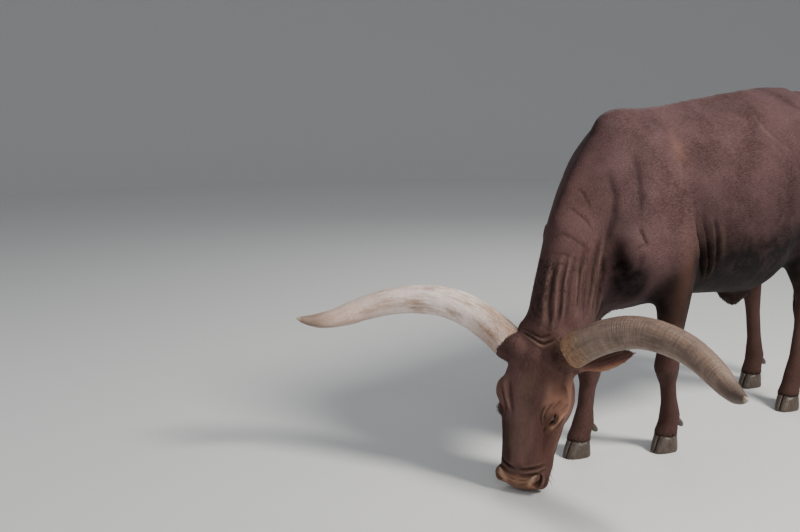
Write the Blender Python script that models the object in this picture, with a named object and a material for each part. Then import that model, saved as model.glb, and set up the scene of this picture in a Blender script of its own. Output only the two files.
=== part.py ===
"""A grazing ankole watusi ox at life size: a still model standing on its eight hooves.

The animal is laid out in its own frame: X forward, Y to its left, Z up, in metres, with the
withers above x = 0 and the ground at z = 0. The last step moves it so that the centre of its
bounding box stands over the origin.
"""

import math
import random

import bmesh
import bpy
import numpy as np
from mathutils import Matrix, Vector

# Driving sizes
GAP = 0.0003
BODY_VOXEL = 0.011
HEAD_VOXEL = 0.0036
BODY_TRIANGLES = 4700
HEAD_TRIANGLES = 3600

# Head frame: the poll, and how far the face is turned and leaned
POLL = Vector((0.493, 0.020, 0.541))
HEAD_YAW = math.radians(13.4)
HEAD_LEAN = math.radians(8.8)
HEAD_ROLL = math.radians(1.4)

# Horn: control points in the head frame (down the face, left, out of the face) and radii
HORN_CONTROL = (
    (0.029, 0.115, -0.029),
    (-0.087, 0.269, -0.012),
    (-0.096, 0.472, 0.029),
    (-0.032, 0.654, 0.101),
    (0.051, 0.765, 0.187),
    (0.032, 0.822, 0.272),
)
HORN_RADII = (
    (0.00, 0.0590),
    (0.15, 0.0563),
    (0.30, 0.0523),
    (0.45, 0.0485),
    (0.60, 0.0448),
    (0.75, 0.0394),
    (0.90, 0.0267),
    (0.96, 0.0165),
    (1.00, 0.0070),
)

HORN_START = 0.004

# Hooves
HOOF_HEIGHT = 0.058
CLAW_LENGTH = 0.112
CLAW_WIDTH = 0.046
CLEFT = 0.006

# Eyes
EYE_RADIUS = 0.0200
EYE_PLACE = (0.2580, 0.0880, -0.0400)
EYE_GAZE = Vector((0.10, 0.74, 0.66)).normalized()
EYE_SLIT = Vector((0.93, -0.33, 0.15)).normalized()
LID_THICKNESS = 0.0085

# The face below the poll: how far its middle lies to the head's right, and its added width
FACE_SHIFT = -0.018
FACE_WIDENING = 0.085
FACE_START = 0.060
FACE_FULL = 0.200

# Tail
SWITCH_SEED = 7
LOCKS = True

COAT = ("coat", (0.085, 0.036, 0.024, 1.0), 0.62)
HORN = ("horn", (0.42, 0.30, 0.22, 1.0), 0.45)
HOOF = ("hoof", (0.075, 0.060, 0.052, 1.0), 0.55)
EYE = ("eye", (0.015, 0.010, 0.008, 1.0), 0.12)
SWITCH = ("tail_hair", (0.040, 0.020, 0.015, 1.0), 0.70)


# Shapes as lists of points and faces


def loft(rings):
    """A closed skin over rings that all have the same number of points."""
    count = len(rings[0])
    points = [p for ring in rings for p in ring]
    faces = []
    for k in range(len(rings) - 1):
        for i in range(count):
            j = (i + 1) % count
            a = k * count
            faces.append((a + i, a + j, a + count + j, a + count + i))
    faces.append(tuple(reversed(range(count))))
    last = (len(rings) - 1) * count
    faces.append(tuple(last + i for i in range(count)))
    return points, faces


def ring(centre, side, up, half_width, rise, drop, n_rise=2.0, n_drop=2.0, count=28):
    """A rounded outline whose upper and lower halves have their own height and squareness."""
    points = []
    for i in range(count):
        c = math.cos(2 * math.pi * i / count)
        s = math.sin(2 * math.pi * i / count)
        n = n_rise if s >= 0 else n_drop
        reach = rise if s >= 0 else drop
        across = math.copysign(abs(c) ** (2 / n), c) * half_width
        along = math.copysign(abs(s) ** (2 / n), s) * reach
        points.append(centre + side * across + up * along)
    return points


def ellipsoid(centre, radii, turn=None, count=20):
    """A ball stretched along three axes; turn is a 3x3 matrix for those axes."""
    turn = turn or Matrix.Identity(3)
    rings = []
    for k in range(1, count // 2):
        angle = math.pi * k / (count // 2)
        height = -math.cos(angle) * radii[2]
        scale = math.sin(angle)
        rings.append(
            [
                Vector(centre)
                + turn
                @ Vector(
                    (
                        scale * radii[0] * math.cos(2 * math.pi * i / count),
                        scale * radii[1] * math.sin(2 * math.pi * i / count),
                        height,
                    )
                )
                for i in range(count)
            ]
        )
    return loft(rings)


def limb(stations, count=20):
    """A tapering limb. Each station is x, y, z, half depth fore and aft, half width."""
    centres = [Vector(s[:3]) for s in stations]
    rings = []
    for k, station in enumerate(stations):
        ahead = centres[min(k + 1, len(centres) - 1)]
        behind = centres[max(k - 1, 0)]
        along = (ahead - behind).normalized()
        fore = Vector((0, 1, 0)).cross(along).normalized()
        side = along.cross(fore).normalized()
        rings.append(
            ring(centres[k], side, fore, station[4], station[3], station[3], 2.2, 2.2, count)
        )
    return loft(rings)


def rod(ends, radii, count=16):
    """A round bar between two points, with rounded ends."""
    start, stop = Vector(ends[0]), Vector(ends[1])
    along = (stop - start).normalized()
    side = along.orthogonal().normalized()
    up = along.cross(side)
    rings = []
    for centre, radius, sign in ((start, radii[0], -1), (stop, radii[1], 1)):
        steps = (80, 50, 20, 0) if sign < 0 else (0, 20, 50, 80)
        for degrees in steps:
            angle = math.radians(degrees)
            size = radius * math.cos(angle)
            middle = centre + along * (sign * radius * math.sin(angle))
            rings.append(ring(middle, side, up, size, size, size, count=count))
    return loft(rings)


def mirrored(form):
    """The same form on the animal's right side."""
    points, faces = form
    flipped = [Vector((p[0], -p[1], p[2])) for p in points]
    return flipped, [tuple(reversed(f)) for f in faces]


def moved(form, matrix):
    return [matrix @ Vector(p) for p in form[0]], form[1]


def both_sides(forms):
    return forms + [mirrored(f) for f in forms]


# Objects


def material(look):
    name, colour, roughness = look
    made = bpy.data.materials.get(name)
    if made is None:
        made = bpy.data.materials.new(name)
        made.use_nodes = True
        shader = made.node_tree.nodes["Principled BSDF"]
        shader.inputs["Base Color"].default_value = colour
        shader.inputs["Roughness"].default_value = roughness
        shader.inputs["Metallic"].default_value = 0.0
        made.diffuse_color = colour
    return made


def object_of(name, forms, look=COAT):
    """One object holding the forms, each a closed shell."""
    mesh = bpy.data.meshes.new(name)
    points, faces = [], []
    for form_points, form_faces in forms:
        base = len(points)
        points.extend(form_points)
        faces.extend(tuple(base + i for i in f) for f in form_faces)
    mesh.from_pydata([tuple(p) for p in points], [], faces)
    work = bmesh.new()
    work.from_mesh(mesh)
    bmesh.ops.recalc_face_normals(work, faces=work.faces)
    bmesh.ops.triangulate(work, faces=[f for f in work.faces if len(f.verts) > 4])
    work.to_mesh(mesh)
    work.free()
    mesh.materials.append(material(look))
    made = bpy.data.objects.new(name, mesh)
    bpy.context.scene.collection.objects.link(made)
    return made


def apply_modifiers(target):
    """Bakes the modifiers of an object into its mesh."""
    bpy.context.view_layer.update()
    graph = bpy.context.evaluated_depsgraph_get()
    baked = bpy.data.meshes.new_from_object(target.evaluated_get(graph))
    target.modifiers.clear()
    old = target.data
    target.data = baked
    bpy.data.meshes.remove(old)


def remove(target):
    bpy.data.objects.remove(target)


def fused(name, forms, voxel):
    """The forms drawn together under one skin."""
    made = object_of(name, forms)
    skin = made.modifiers.new("skin", "REMESH")
    skin.mode = "VOXEL"
    skin.voxel_size = voxel
    apply_modifiers(made)
    return made


def softened(target, passes, low=None, high=None):
    """Softens the joins, with full strength above the height high and little below low."""
    group = target.vertex_groups.new(name="soft")
    for vertex in target.data.vertices:
        share = 1.0 if low is None else (vertex.co.z - low) / (high - low)
        group.add([vertex.index], min(1.0, max(0.12, share)), "REPLACE")
    soft = target.modifiers.new("soften", "SMOOTH")
    soft.factor = 0.5
    soft.iterations = passes
    soft.vertex_group = "soft"
    apply_modifiers(target)
    target.vertex_groups.clear()


def thinned(target, triangles):
    """The same surface with about that many triangles."""
    work = bmesh.new()
    work.from_mesh(target.data)
    bmesh.ops.triangulate(work, faces=work.faces)
    work.to_mesh(target.data)
    work.free()
    fewer = target.modifiers.new("fewer", "DECIMATE")
    fewer.ratio = min(1.0, triangles / len(target.data.polygons))
    apply_modifiers(target)


def largest_shell(target):
    """Keeps the largest closed surface of a mesh."""
    work = bmesh.new()
    work.from_mesh(target.data)
    unseen = set(work.faces)
    shells = []
    while unseen:
        stack = [unseen.pop()]
        shell = []
        while stack:
            face = stack.pop()
            shell.append(face)
            for edge in face.edges:
                for other in edge.link_faces:
                    if other in unseen:
                        unseen.remove(other)
                        stack.append(other)
        shells.append(shell)
    shells.sort(key=len)
    for shell in shells[:-1]:
        bmesh.ops.delete(work, geom=shell, context="FACES")
    bmesh.ops.delete(work, geom=[v for v in work.verts if not v.link_faces], context="VERTS")
    work.to_mesh(target.data)
    work.free()


def combine(target, tool, operation, solver="EXACT"):
    """Applies one Boolean of target with tool, and removes tool."""
    step = target.modifiers.new("combine", "BOOLEAN")
    step.operation = operation
    step.solver = solver
    step.object = tool
    apply_modifiers(target)
    remove(tool)


def fuse_all(target, pieces, solver="MANIFOLD"):
    """Joins the pieces to target in one union, and removes them."""
    group = bpy.data.collections.new("pieces")
    for piece in pieces:
        group.objects.link(piece)
    step = target.modifiers.new("fuse", "BOOLEAN")
    step.operation = "UNION"
    step.operand_type = "COLLECTION"
    step.solver = solver
    step.collection = group
    apply_modifiers(target)
    for piece in pieces:
        remove(piece)
    bpy.data.collections.remove(group)
    largest_shell(target)


def slab(name, frame, low, high):
    """A box between two corners, laid out in a frame."""
    rings = []
    for z in (low[2], high[2]):
        flat = ((low[0], low[1]), (high[0], low[1]), (high[0], high[1]), (low[0], high[1]))
        rings.append([frame @ Vector((x, y, z)) for x, y in flat])
    return object_of(name, [loft(rings)])


def cleared(body, frame, low, high):
    """Removes the box-shaped region from body."""
    combine(body, slab("outside", frame, low, high), "DIFFERENCE")
    largest_shell(body)


def box_region(frame, low, high):
    """A region to part off: a box that can be drawn a little larger all round."""
    def grown(extra):
        return slab("region", frame, [v - extra for v in low], [v + extra for v in high])
    return grown


def stepped_region(frame, back, front, inner, outer, bottom, step, top):
    """A region for a leg: below the height step it reaches in to inner[0], above it to inner[1]."""
    def grown(extra):
        outline = (
            (inner[0] - extra, bottom), (outer, bottom), (outer, top + extra),
            (inner[1] - extra, top + extra), (inner[1] - extra, step + extra), (inner[0] - extra, step + extra),
        )
        rings = [
            [frame @ Vector((x, y, z)) for y, z in outline] for x in (back - extra, front + extra)
        ]
        return object_of("region", [loft(rings)])
    return grown


def part_off(body, name, region):
    """Cuts the region off body, and returns it as its own object beyond a thin gap."""
    piece = body.copy()
    piece.data = body.data.copy()
    piece.name = name
    piece.data.name = name
    bpy.context.scene.collection.objects.link(piece)
    combine(piece, region(0.0), "INTERSECT")
    combine(body, region(GAP), "DIFFERENCE")
    largest_shell(piece)
    largest_shell(body)
    return piece


def press(target, strokes):
    """Moves the surface out along its normals near each stroke: a path, a radius and a height."""
    mesh = target.data
    count = len(mesh.vertices)
    places = np.empty(count * 3)
    normals = np.empty(count * 3)
    mesh.vertices.foreach_get("co", places)
    mesh.vertex_normals.foreach_get("vector", normals)
    places = places.reshape(-1, 3)
    normals = normals.reshape(-1, 3)
    for path, radius, height in strokes:
        nearest = np.full(count, np.inf)
        for start, stop in zip(path[:-1], path[1:]):
            a = np.array(start, float)
            along = np.array(stop, float) - a
            share = np.clip((places - a) @ along / max(along @ along, 1e-12), 0, 1)
            nearest = np.minimum(nearest, np.linalg.norm(places - a - share[:, None] * along, axis=1))
        places = places + normals * (height * np.exp(-((nearest / radius) ** 2)))[:, None]
    mesh.vertices.foreach_set("co", places.ravel())
    mesh.update()


# Frames


def head_frame():
    """From the head's own axes (down the face, left, out of the face) to the animal's."""
    down = Vector((math.sin(HEAD_LEAN), 0, -math.cos(HEAD_LEAN)))
    left = Vector((0, 1, 0))
    out = Vector((math.cos(HEAD_LEAN), 0, math.sin(HEAD_LEAN)))
    rolled_left = left * math.cos(HEAD_ROLL) + down * math.sin(HEAD_ROLL)
    rolled_down = down * math.cos(HEAD_ROLL) - left * math.sin(HEAD_ROLL)
    columns = Matrix((rolled_down, rolled_left, out)).transposed()
    turned = Matrix.Rotation(HEAD_YAW, 3, "Z") @ columns
    return Matrix.Translation(POLL) @ turned.to_4x4()


HEAD = head_frame()


def in_head(forms):
    return [moved(f, HEAD) for f in forms]


def mirrored_in_head(form):
    points, faces = form
    return [Vector((p[0], -p[1], p[2])) for p in points], [tuple(reversed(f)) for f in faces]


def face_share(u):
    """How fully a place this far down the head takes part in the face's shift and widening."""
    t = min(max((u - FACE_START) / (FACE_FULL - FACE_START), 0.0), 1.0)
    return t * t * (3 - 2 * t)


def on_face(place):
    """A place of the even-sided head, carried to the widened and shifted face."""
    share = face_share(place[0])
    return Vector((place[0], place[1] * (1 + FACE_WIDENING * share) + FACE_SHIFT * share, place[2]))


def faced(form):
    return [on_face(p) for p in form[0]], form[1]


# Torso


def barrel():
    """The trunk, from the breast back to the buttocks, as upright rings."""
    stations = (
        # x, top, bottom, height of the widest place, half width, top and bottom squareness
        (0.268, 0.950, 0.735, 0.835, 0.085, 2.0, 2.0),
        (0.235, 1.030, 0.680, 0.845, 0.150, 2.0, 2.1),
        (0.175, 1.130, 0.632, 0.850, 0.198, 1.9, 2.2),
        (0.080, 1.245, 0.598, 0.870, 0.222, 1.75, 2.3),
        (-0.040, 1.312, 0.585, 0.880, 0.238, 1.65, 2.3),
        (-0.200, 1.306, 0.584, 0.885, 0.252, 1.7, 2.2),
        (-0.380, 1.312, 0.582, 0.885, 0.282, 1.85, 2.2),
        (-0.560, 1.322, 0.562, 0.880, 0.306, 1.95, 2.2),
        (-0.740, 1.336, 0.538, 0.885, 0.304, 2.0, 2.2),
        (-0.880, 1.352, 0.560, 0.920, 0.272, 2.0, 2.1),
        (-1.000, 1.360, 0.640, 0.980, 0.234, 2.0, 2.0),
        (-1.120, 1.352, 0.740, 1.040, 0.204, 2.1, 2.0),
        (-1.215, 1.322, 0.850, 1.080, 0.165, 2.2, 2.0),
        (-1.280, 1.262, 0.960, 1.110, 0.110, 2.2, 2.0),
    )
    rings = [
        ring(
            Vector((x, 0, widest)), Vector((0, 1, 0)), Vector((0, 0, 1)),
            half, top - widest, widest - bottom, n_top, n_bottom, 36,
        )
        for x, top, bottom, widest, half, n_top, n_bottom in stations
    ]
    return [loft(rings)]


def topline():
    """The withers, the spine's low ridge, the loin and the croup."""
    ridge = (
        (0.085, 0, 1.248), (0.010, 0, 1.290), (-0.080, 0, 1.290), (-0.250, 0, 1.302), (-0.500, 0, 1.322),
        (-0.750, 0, 1.336), (-0.950, 0, 1.344), (-1.130, 0, 1.336), (-1.235, 0, 1.292),
    )
    radii = (0.036, 0.034, 0.030, 0.026, 0.026, 0.028, 0.030, 0.032, 0.032)
    rods = [
        rod((a, b), (ra, rb))
        for a, b, ra, rb in zip(ridge, ridge[1:], radii, radii[1:])
    ]
    withers = ellipsoid((0.000, 0, 1.255), (0.170, 0.066, 0.072))
    return rods + [withers]


def shoulder():
    """The left shoulder: blade, its point, the upper arm and the elbow."""
    lean = Matrix.Rotation(math.radians(-34), 3, "Y")
    return [
        ellipsoid((0.040, 0.112, 1.065), (0.110, 0.064, 0.225), lean),
        ellipsoid((0.165, 0.150, 0.840), (0.072, 0.066, 0.095)),
        rod(((0.160, 0.150, 0.840), (-0.070, 0.184, 0.735)), (0.066, 0.066)),
        ellipsoid((-0.050, 0.172, 0.850), (0.150, 0.068, 0.180)),
    ]


def hip():
    """The left haunch: hook bone, pin bone, and the line of muscle between them."""
    return [
        ellipsoid((-0.920, 0.174, 1.240), (0.078, 0.052, 0.050)),
        rod(((-0.920, 0.176, 1.240), (-0.960, 0.060, 1.306)), (0.036, 0.036)),
        ellipsoid((-1.268, 0.090, 1.165), (0.044, 0.038, 0.046)),
        rod(((-0.960, 0.158, 1.190), (-1.255, 0.086, 1.150)), (0.076, 0.062)),
        ellipsoid((-1.060, 0.140, 1.080), (0.175, 0.100, 0.170)),
    ]


def breast():
    """The brisket between the forelegs."""
    return [
        ellipsoid((0.160, 0, 0.680), (0.105, 0.095, 0.085)),
        ellipsoid((-0.030, 0, 0.625), (0.200, 0.085, 0.050)),
    ]


def sheath():
    """The fold of skin that hangs under the belly."""
    tip = Vector((-0.810, 0, 0.512))
    return [
        ellipsoid(tip + Vector((-0.020, 0, 0.020)), (0.125, 0.040, 0.052)),
        ellipsoid(tip, (0.056, 0.036, 0.046)),
    ]


# Neck


def neck():
    """The neck, as leaning rings given by their crest point, throat point and half width."""
    stations = (
        (-0.060, 1.312, -0.020, 0.760, 0.000, 0.172),
        (0.075, 1.288, 0.050, 0.740, 0.000, 0.180),
        (0.175, 1.212, 0.110, 0.720, 0.000, 0.168),
        (0.275, 1.094, 0.145, 0.690, 0.001, 0.142),
        (0.360, 0.965, 0.172, 0.640, 0.003, 0.122),
        (0.412, 0.840, 0.205, 0.575, 0.006, 0.110),
        (0.458, 0.725, 0.240, 0.505, 0.010, 0.106),
        (0.484, 0.622, 0.275, 0.440, 0.012, 0.106),
        (0.486, 0.540, 0.310, 0.390, 0.014, 0.104),
    )
    rings = []
    for crest_x, crest_z, throat_x, throat_z, y, half in stations:
        crest = Vector((crest_x, y, crest_z))
        throat = Vector((throat_x, y, throat_z))
        middle = (crest * 0.5 + throat * 0.5)
        reach = (crest - throat).length / 2
        up = (crest - throat).normalized()
        rings.append(ring(middle, Vector((0, 1, 0)), up, half, reach, reach, 1.85, 1.9, 28))
    crest = ((0.010, 1.286), (0.100, 1.250), (0.190, 1.172), (0.280, 1.060), (0.360, 0.935))
    bars = [
        rod(((x, 0, z), (next_x, 0, next_z)), (0.036, 0.036))
        for (x, z), (next_x, next_z) in zip(crest, crest[1:])
    ]
    return [loft(rings)] + bars


def dewlap():
    """The curtain of loose skin from the throat back to the brisket."""
    edge = (
        # lower edge x, z, root x, z, half thickness at the root
        (0.300, 0.385, 0.335, 0.480, 0.046),
        (0.262, 0.408, 0.305, 0.520, 0.052),
        (0.215, 0.445, 0.272, 0.590, 0.056),
        (0.165, 0.492, 0.232, 0.660, 0.060),
        (0.110, 0.545, 0.180, 0.710, 0.062),
        (0.040, 0.578, 0.090, 0.710, 0.064),
    )
    rings = []
    for low_x, low_z, root_x, root_z, half in edge:
        low = Vector((low_x, 0.006, low_z))
        root = Vector((root_x, 0.004, root_z))
        up = (root - low).normalized()
        reach = (root - low).length
        rings.append(ring(root, Vector((0, 1, 0)), up, half, 0.04, reach, 2.0, 1.35, 24))
    return [loft(rings)]


# Head


def skull():
    """The head's main mass as rings down the face."""
    stations = (
        # down the face, front, back, half width, where it is widest, front and back squareness
        (-0.016, -0.034, -0.105, 0.074, -0.065, 2.2, 2.0),
        (0.010, -0.006, -0.150, 0.100, -0.060, 2.5, 2.0),
        (0.060, 0.008, -0.190, 0.108, -0.066, 2.7, 2.0),
        (0.120, 0.012, -0.212, 0.110, -0.072, 2.9, 2.0),
        (0.175, 0.014, -0.226, 0.115, -0.072, 2.9, 2.0),
        (0.230, 0.013, -0.228, 0.111, -0.074, 2.6, 2.0),
        (0.290, 0.011, -0.208, 0.103, -0.082, 2.2, 1.9),
        (0.350, 0.007, -0.182, 0.096, -0.084, 2.0, 1.9),
        (0.410, 0.001, -0.158, 0.091, -0.080, 1.9, 2.0),
        (0.455, -0.003, -0.142, 0.087, -0.074, 2.0, 2.0),
        (0.490, -0.008, -0.130, 0.083, -0.066, 2.3, 2.0),
        (0.512, -0.020, -0.116, 0.074, -0.066, 2.4, 2.0),
        (0.528, -0.042, -0.096, 0.044, -0.068, 2.2, 2.0),
    )
    rings = [
        ring(
            Vector((u, 0, widest)), Vector((0, 1, 0)), Vector((0, 0, 1)),
            half, front - widest, widest - back, n_front, n_back, 32,
        )
        for u, front, back, half, widest, n_front, n_back in stations
    ]
    return [loft(rings)]


def head_masses():
    """The forms on the left half of the head: brow, cheek, jaw, horn sleeve and lips."""
    return [
        # Horn sleeve of skin, from inside the poll out to the horn's base
        limb_along(((0.052, 0.045, -0.048, 0.058), (0.040, 0.085, -0.038, 0.060),
                    (0.028, 0.118, -0.028, 0.0605), (0.010, 0.142, -0.025, 0.0600))),
        # Brow and the bony rim over the eye
        ellipsoid((0.188, 0.084, -0.050), (0.062, 0.042, 0.046)),
        ellipsoid((0.206, 0.096, -0.078), (0.048, 0.028, 0.040)),
        rod(((0.238, 0.090, -0.095), (0.110, 0.092, -0.105)), (0.022, 0.022)),
        # Rim below the eye and the crest that runs down the cheek
        rod(((0.294, 0.082, -0.060), (0.266, 0.090, -0.080)), (0.019, 0.020)),
        rod(((0.266, 0.090, -0.080), (0.226, 0.096, -0.094)), (0.020, 0.020)),
        rod(((0.285, 0.088, -0.080), (0.385, 0.074, -0.076)), (0.018, 0.016)),
        # Cheek muscle and the lower edge of the jaw
        ellipsoid((0.210, 0.064, -0.150), (0.100, 0.038, 0.078)),
        rod(((0.215, 0.052, -0.206), (0.330, 0.050, -0.164)), (0.026, 0.024)),
        rod(((0.330, 0.050, -0.164), (0.470, 0.034, -0.120)), (0.024, 0.021)),
        # Muzzle: the swollen rim outside the nostril, and the upper lip
        ellipsoid((0.484, 0.065, -0.026), (0.032, 0.021, 0.025)),
        ellipsoid((0.494, 0.053, -0.072), (0.033, 0.032, 0.032)),
        # Root of the ear
        rod(((0.092, 0.080, -0.112), (0.080, 0.128, -0.118)), (0.030, 0.024)),
    ]


def limb_along(stations):
    """A round limb whose stations are x, y, z and radius, with rings square to its path."""
    centres = [Vector(s[:3]) for s in stations]
    rings = []
    for k, station in enumerate(stations):
        along = (centres[min(k + 1, len(centres) - 1)] - centres[max(k - 1, 0)]).normalized()
        side = along.cross(Vector((0, 0, 1))).normalized()
        up = side.cross(along)
        rings.append(ring(centres[k], side, up, station[3], station[3], station[3], count=24))
    return loft(rings)


def head_middle():
    """The forms on the head's middle line: the poll, the nose and the lower lip."""
    return [
        ellipsoid((0.020, 0, -0.044), (0.042, 0.108, 0.046)),
        ellipsoid((0.095, 0, -0.034), (0.110, 0.080, 0.050)),
        rod(((0.240, 0, -0.033), (0.430, 0, -0.028)), (0.046, 0.034)),
        ellipsoid((0.500, 0, -0.046), (0.032, 0.062, 0.040)),
        ellipsoid((0.486, 0, -0.106), (0.044, 0.044, 0.026)),
    ]


# Legs


def foreleg(elbow, knee, fetlock, coronet):
    """A foreleg given by the centres of its joints, as rings down to the coronet."""
    e, k, f, c = (Vector(p) for p in (elbow, knee, fetlock, coronet))
    upper = (
        (-0.60, 0.050, 0.026), (-0.36, 0.115, 0.050), (0.00, 0.100, 0.060), (0.26, 0.080, 0.054),
        (0.52, 0.060, 0.046), (0.78, 0.047, 0.041),
    )
    stations = [(*(e + (k - e) * t), depth, width) for t, depth, width in upper]
    stations.append((*k, 0.049, 0.047))
    stations.append((*(k + (f - k) * 0.17), 0.043, 0.041))
    stations.append((*(k + (f - k) * 0.34), 0.034, 0.031))
    stations.append((*(k + (f - k) * 0.70), 0.033, 0.030))
    stations.append((*f, 0.045, 0.041))
    stations.append((*(f * 0.5 + c * 0.5), 0.039, 0.040))
    stations.append((*c, 0.046, 0.046))
    stations.append((*(c - Vector((0, 0, 0.03))), 0.047, 0.047))
    elbow_tip = e + Vector((-0.075, 0.004, 0.010))
    pisiform = k + Vector((-0.036, 0, 0.018))
    return [
        limb(stations),
        rod((e + Vector((-0.02, 0, 0.02)), elbow_tip), (0.050, 0.032)),
        ellipsoid(k + Vector((0.012, 0, -0.004)), (0.043, 0.047, 0.046)),
        ellipsoid(pisiform, (0.020, 0.024, 0.028)),
        rod((k + (f - k) * 0.30 + Vector((-0.020, 0, 0)), f + Vector((-0.026, 0, 0.03))), (0.017, 0.020)),
    ]


def hindleg(side, stifle, hock, fetlock, coronet):
    """A hind leg given by the centres of its joints, from the haunch down to the coronet."""
    s, h, f, c = (Vector(p) for p in (stifle, hock, fetlock, coronet))
    haunch = (
        (-1.045, 0.120 * side, 1.190, 0.190, 0.095), (-1.050, 0.150 * side, 1.050, 0.205, 0.112),
        (-1.035, 0.168 * side, 0.930, 0.200, 0.108),
    )
    gaskin = s * 0.62 + h * 0.38 + Vector((-0.020, 0, 0.020))
    low_gaskin = s * 0.28 + h * 0.72 + Vector((-0.010, 0, 0.010))
    stations = list(haunch)
    stations.append((*(s + Vector((-0.115, -0.006 * side, 0.075))), 0.170, 0.092))
    stations.append((*(s + Vector((-0.090, -0.004 * side, -0.015))), 0.128, 0.076))
    stations.append((*gaskin, 0.082, 0.056))
    stations.append((*low_gaskin, 0.058, 0.043))
    stations.append((*h, 0.056, 0.042))
    stations.append((*(h + (f - h) * 0.20), 0.044, 0.036))
    stations.append((*(h + (f - h) * 0.40), 0.036, 0.031))
    stations.append((*(h + (f - h) * 0.74), 0.034, 0.030))
    stations.append((*f, 0.046, 0.041))
    stations.append((*(f * 0.5 + c * 0.5), 0.040, 0.040))
    stations.append((*c, 0.046, 0.046))
    stations.append((*(c - Vector((0, 0, 0.03))), 0.047, 0.047))
    heel = h + Vector((-0.060, 0, 0.070))
    return [
        limb(stations),
        ellipsoid(s + Vector((-0.012, 0, 0.010)), (0.062, 0.052, 0.080)),
        rod((h + Vector((-0.018, 0, 0.0)), heel), (0.034, 0.022)),
        rod((heel, gaskin + Vector((-0.072, 0, 0.060))), (0.018, 0.030)),
        rod((h + Vector((-0.030, 0, 0.060)), gaskin + Vector((-0.045, 0, 0.030))), (0.020, 0.026)),
        rod((h + (f - h) * 0.30 + Vector((-0.022, 0, 0)), f + Vector((-0.026, 0, 0.03))), (0.017, 0.020)),
    ]


FORE_JOINTS = {
    "left": ((-0.100, 0.185, 0.700), (-0.156, 0.124, 0.352), (-0.226, 0.098, 0.132), (-0.214, 0.092, 0.070)),
    "right": ((-0.020, -0.180, 0.700), (0.034, -0.092, 0.338), (0.056, -0.099, 0.128), (0.078, -0.103, 0.070)),
}
HIND_JOINTS = {
    "left": ((-0.880, 0.205, 0.745), (-1.120, 0.168, 0.480), (-1.078, 0.150, 0.136), (-1.050, 0.148, 0.070)),
    "right": ((-0.950, -0.205, 0.740), (-1.250, -0.168, 0.480), (-1.282, -0.154, 0.136), (-1.256, -0.152, 0.070)),
}

# Surface relief: hollows and ridges as strokes of path, radius and height

BODY_STROKES = [
    # Hunger hollow in front of the hook bone, and the ridge below it
    (((-0.660, 0.215, 1.235), (-0.820, 0.225, 1.180)), 0.062, -0.026),
    (((-0.620, 0.260, 1.140), (-0.840, 0.270, 1.040)), 0.045, 0.008),
    # Groove behind the shoulder and behind the elbow
    (((-0.150, 0.190, 1.190), (-0.190, 0.250, 0.900), (-0.200, 0.230, 0.720)), 0.045, -0.012),
    # Ridge of the blade
    (((-0.060, 0.120, 1.230), (0.070, 0.190, 1.000)), 0.022, 0.005),
    # Groove between neck and shoulder
    (((0.120, 0.150, 1.120), (0.175, 0.170, 0.960), (0.190, 0.120, 0.800)), 0.034, -0.012),
    # Hollow over the flank in front of the thigh
    (((-0.830, 0.230, 0.980), (-0.800, 0.240, 0.850)), 0.055, -0.012),
    # Groove of the buttock
    (((-1.200, 0.140, 1.000), (-1.130, 0.190, 0.800)), 0.028, -0.007),
]


def on_both_sides(strokes):
    """The strokes and their mirror images across the middle plane."""
    flipped = [
        (tuple((x, -y, z) for x, y, z in path), radius, height) for path, radius, height in strokes
    ]
    return list(strokes) + flipped


HEAD_STROKES = [
    # Hollow of the temple behind the eye, and the hollow in front of it
    (((0.100, 0.092, -0.060), (0.160, 0.100, -0.085)), 0.026, -0.008),
    (((0.270, 0.072, -0.030), (0.330, 0.062, -0.040)), 0.020, -0.006),
    # Groove between cheek and jaw, and the fold behind the nostril
    (((0.310, 0.096, -0.105), (0.400, 0.084, -0.104)), 0.020, -0.006),
    (((0.462, 0.052, -0.006), (0.470, 0.078, -0.045)), 0.010, -0.005),
    # Shallow dish of the forehead between the eyes
    (((0.130, 0.000, 0.014), (0.230, 0.000, 0.014)), 0.036, -0.005),
]


def strokes_in_head(strokes):
    """Both sides of the head's strokes, carried into the animal's frame."""
    return [
        (tuple(HEAD @ on_face(p) for p in path), radius, height)
        for path, radius, height in on_both_sides(strokes)
    ]


# Horns, eyes, ears


def spline(control, t):
    """A point of the clamped cubic B-spline through the ends of its control points."""
    degree = 3
    count = len(control)
    inner = count - degree
    knots = [0.0] * degree + [i / inner for i in range(inner + 1)] + [1.0] * degree
    t = min(max(t, 0.0), 1.0 - 1e-9)
    span = max(i for i in range(degree, count) if knots[i] <= t)
    points = [Vector(control[i]) for i in range(span - degree, span + 1)]
    for level in range(1, degree + 1):
        for j in range(degree, level - 1, -1):
            i = span - degree + j
            share = (t - knots[i]) / (knots[i + degree - level + 1] - knots[i])
            points[j] = points[j - 1] * (1 - share) + points[j] * share
    return points[degree]


def between(table, t):
    """The value at t of a table of (t, value) rows."""
    return float(np.interp(t, [row[0] for row in table], [row[1] for row in table]))


def horn_base():
    """The frame of the left horn's base plane in the head frame: its Z runs along the horn."""
    centre = spline(HORN_CONTROL, HORN_START)
    along = (spline(HORN_CONTROL, HORN_START + 0.03) - centre).normalized()
    side = along.cross(Vector((0, 0, 1))).normalized()
    up = side.cross(along)
    turn = Matrix((side, up, along)).transposed()
    return Matrix.Translation(centre) @ turn.to_4x4()


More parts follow.
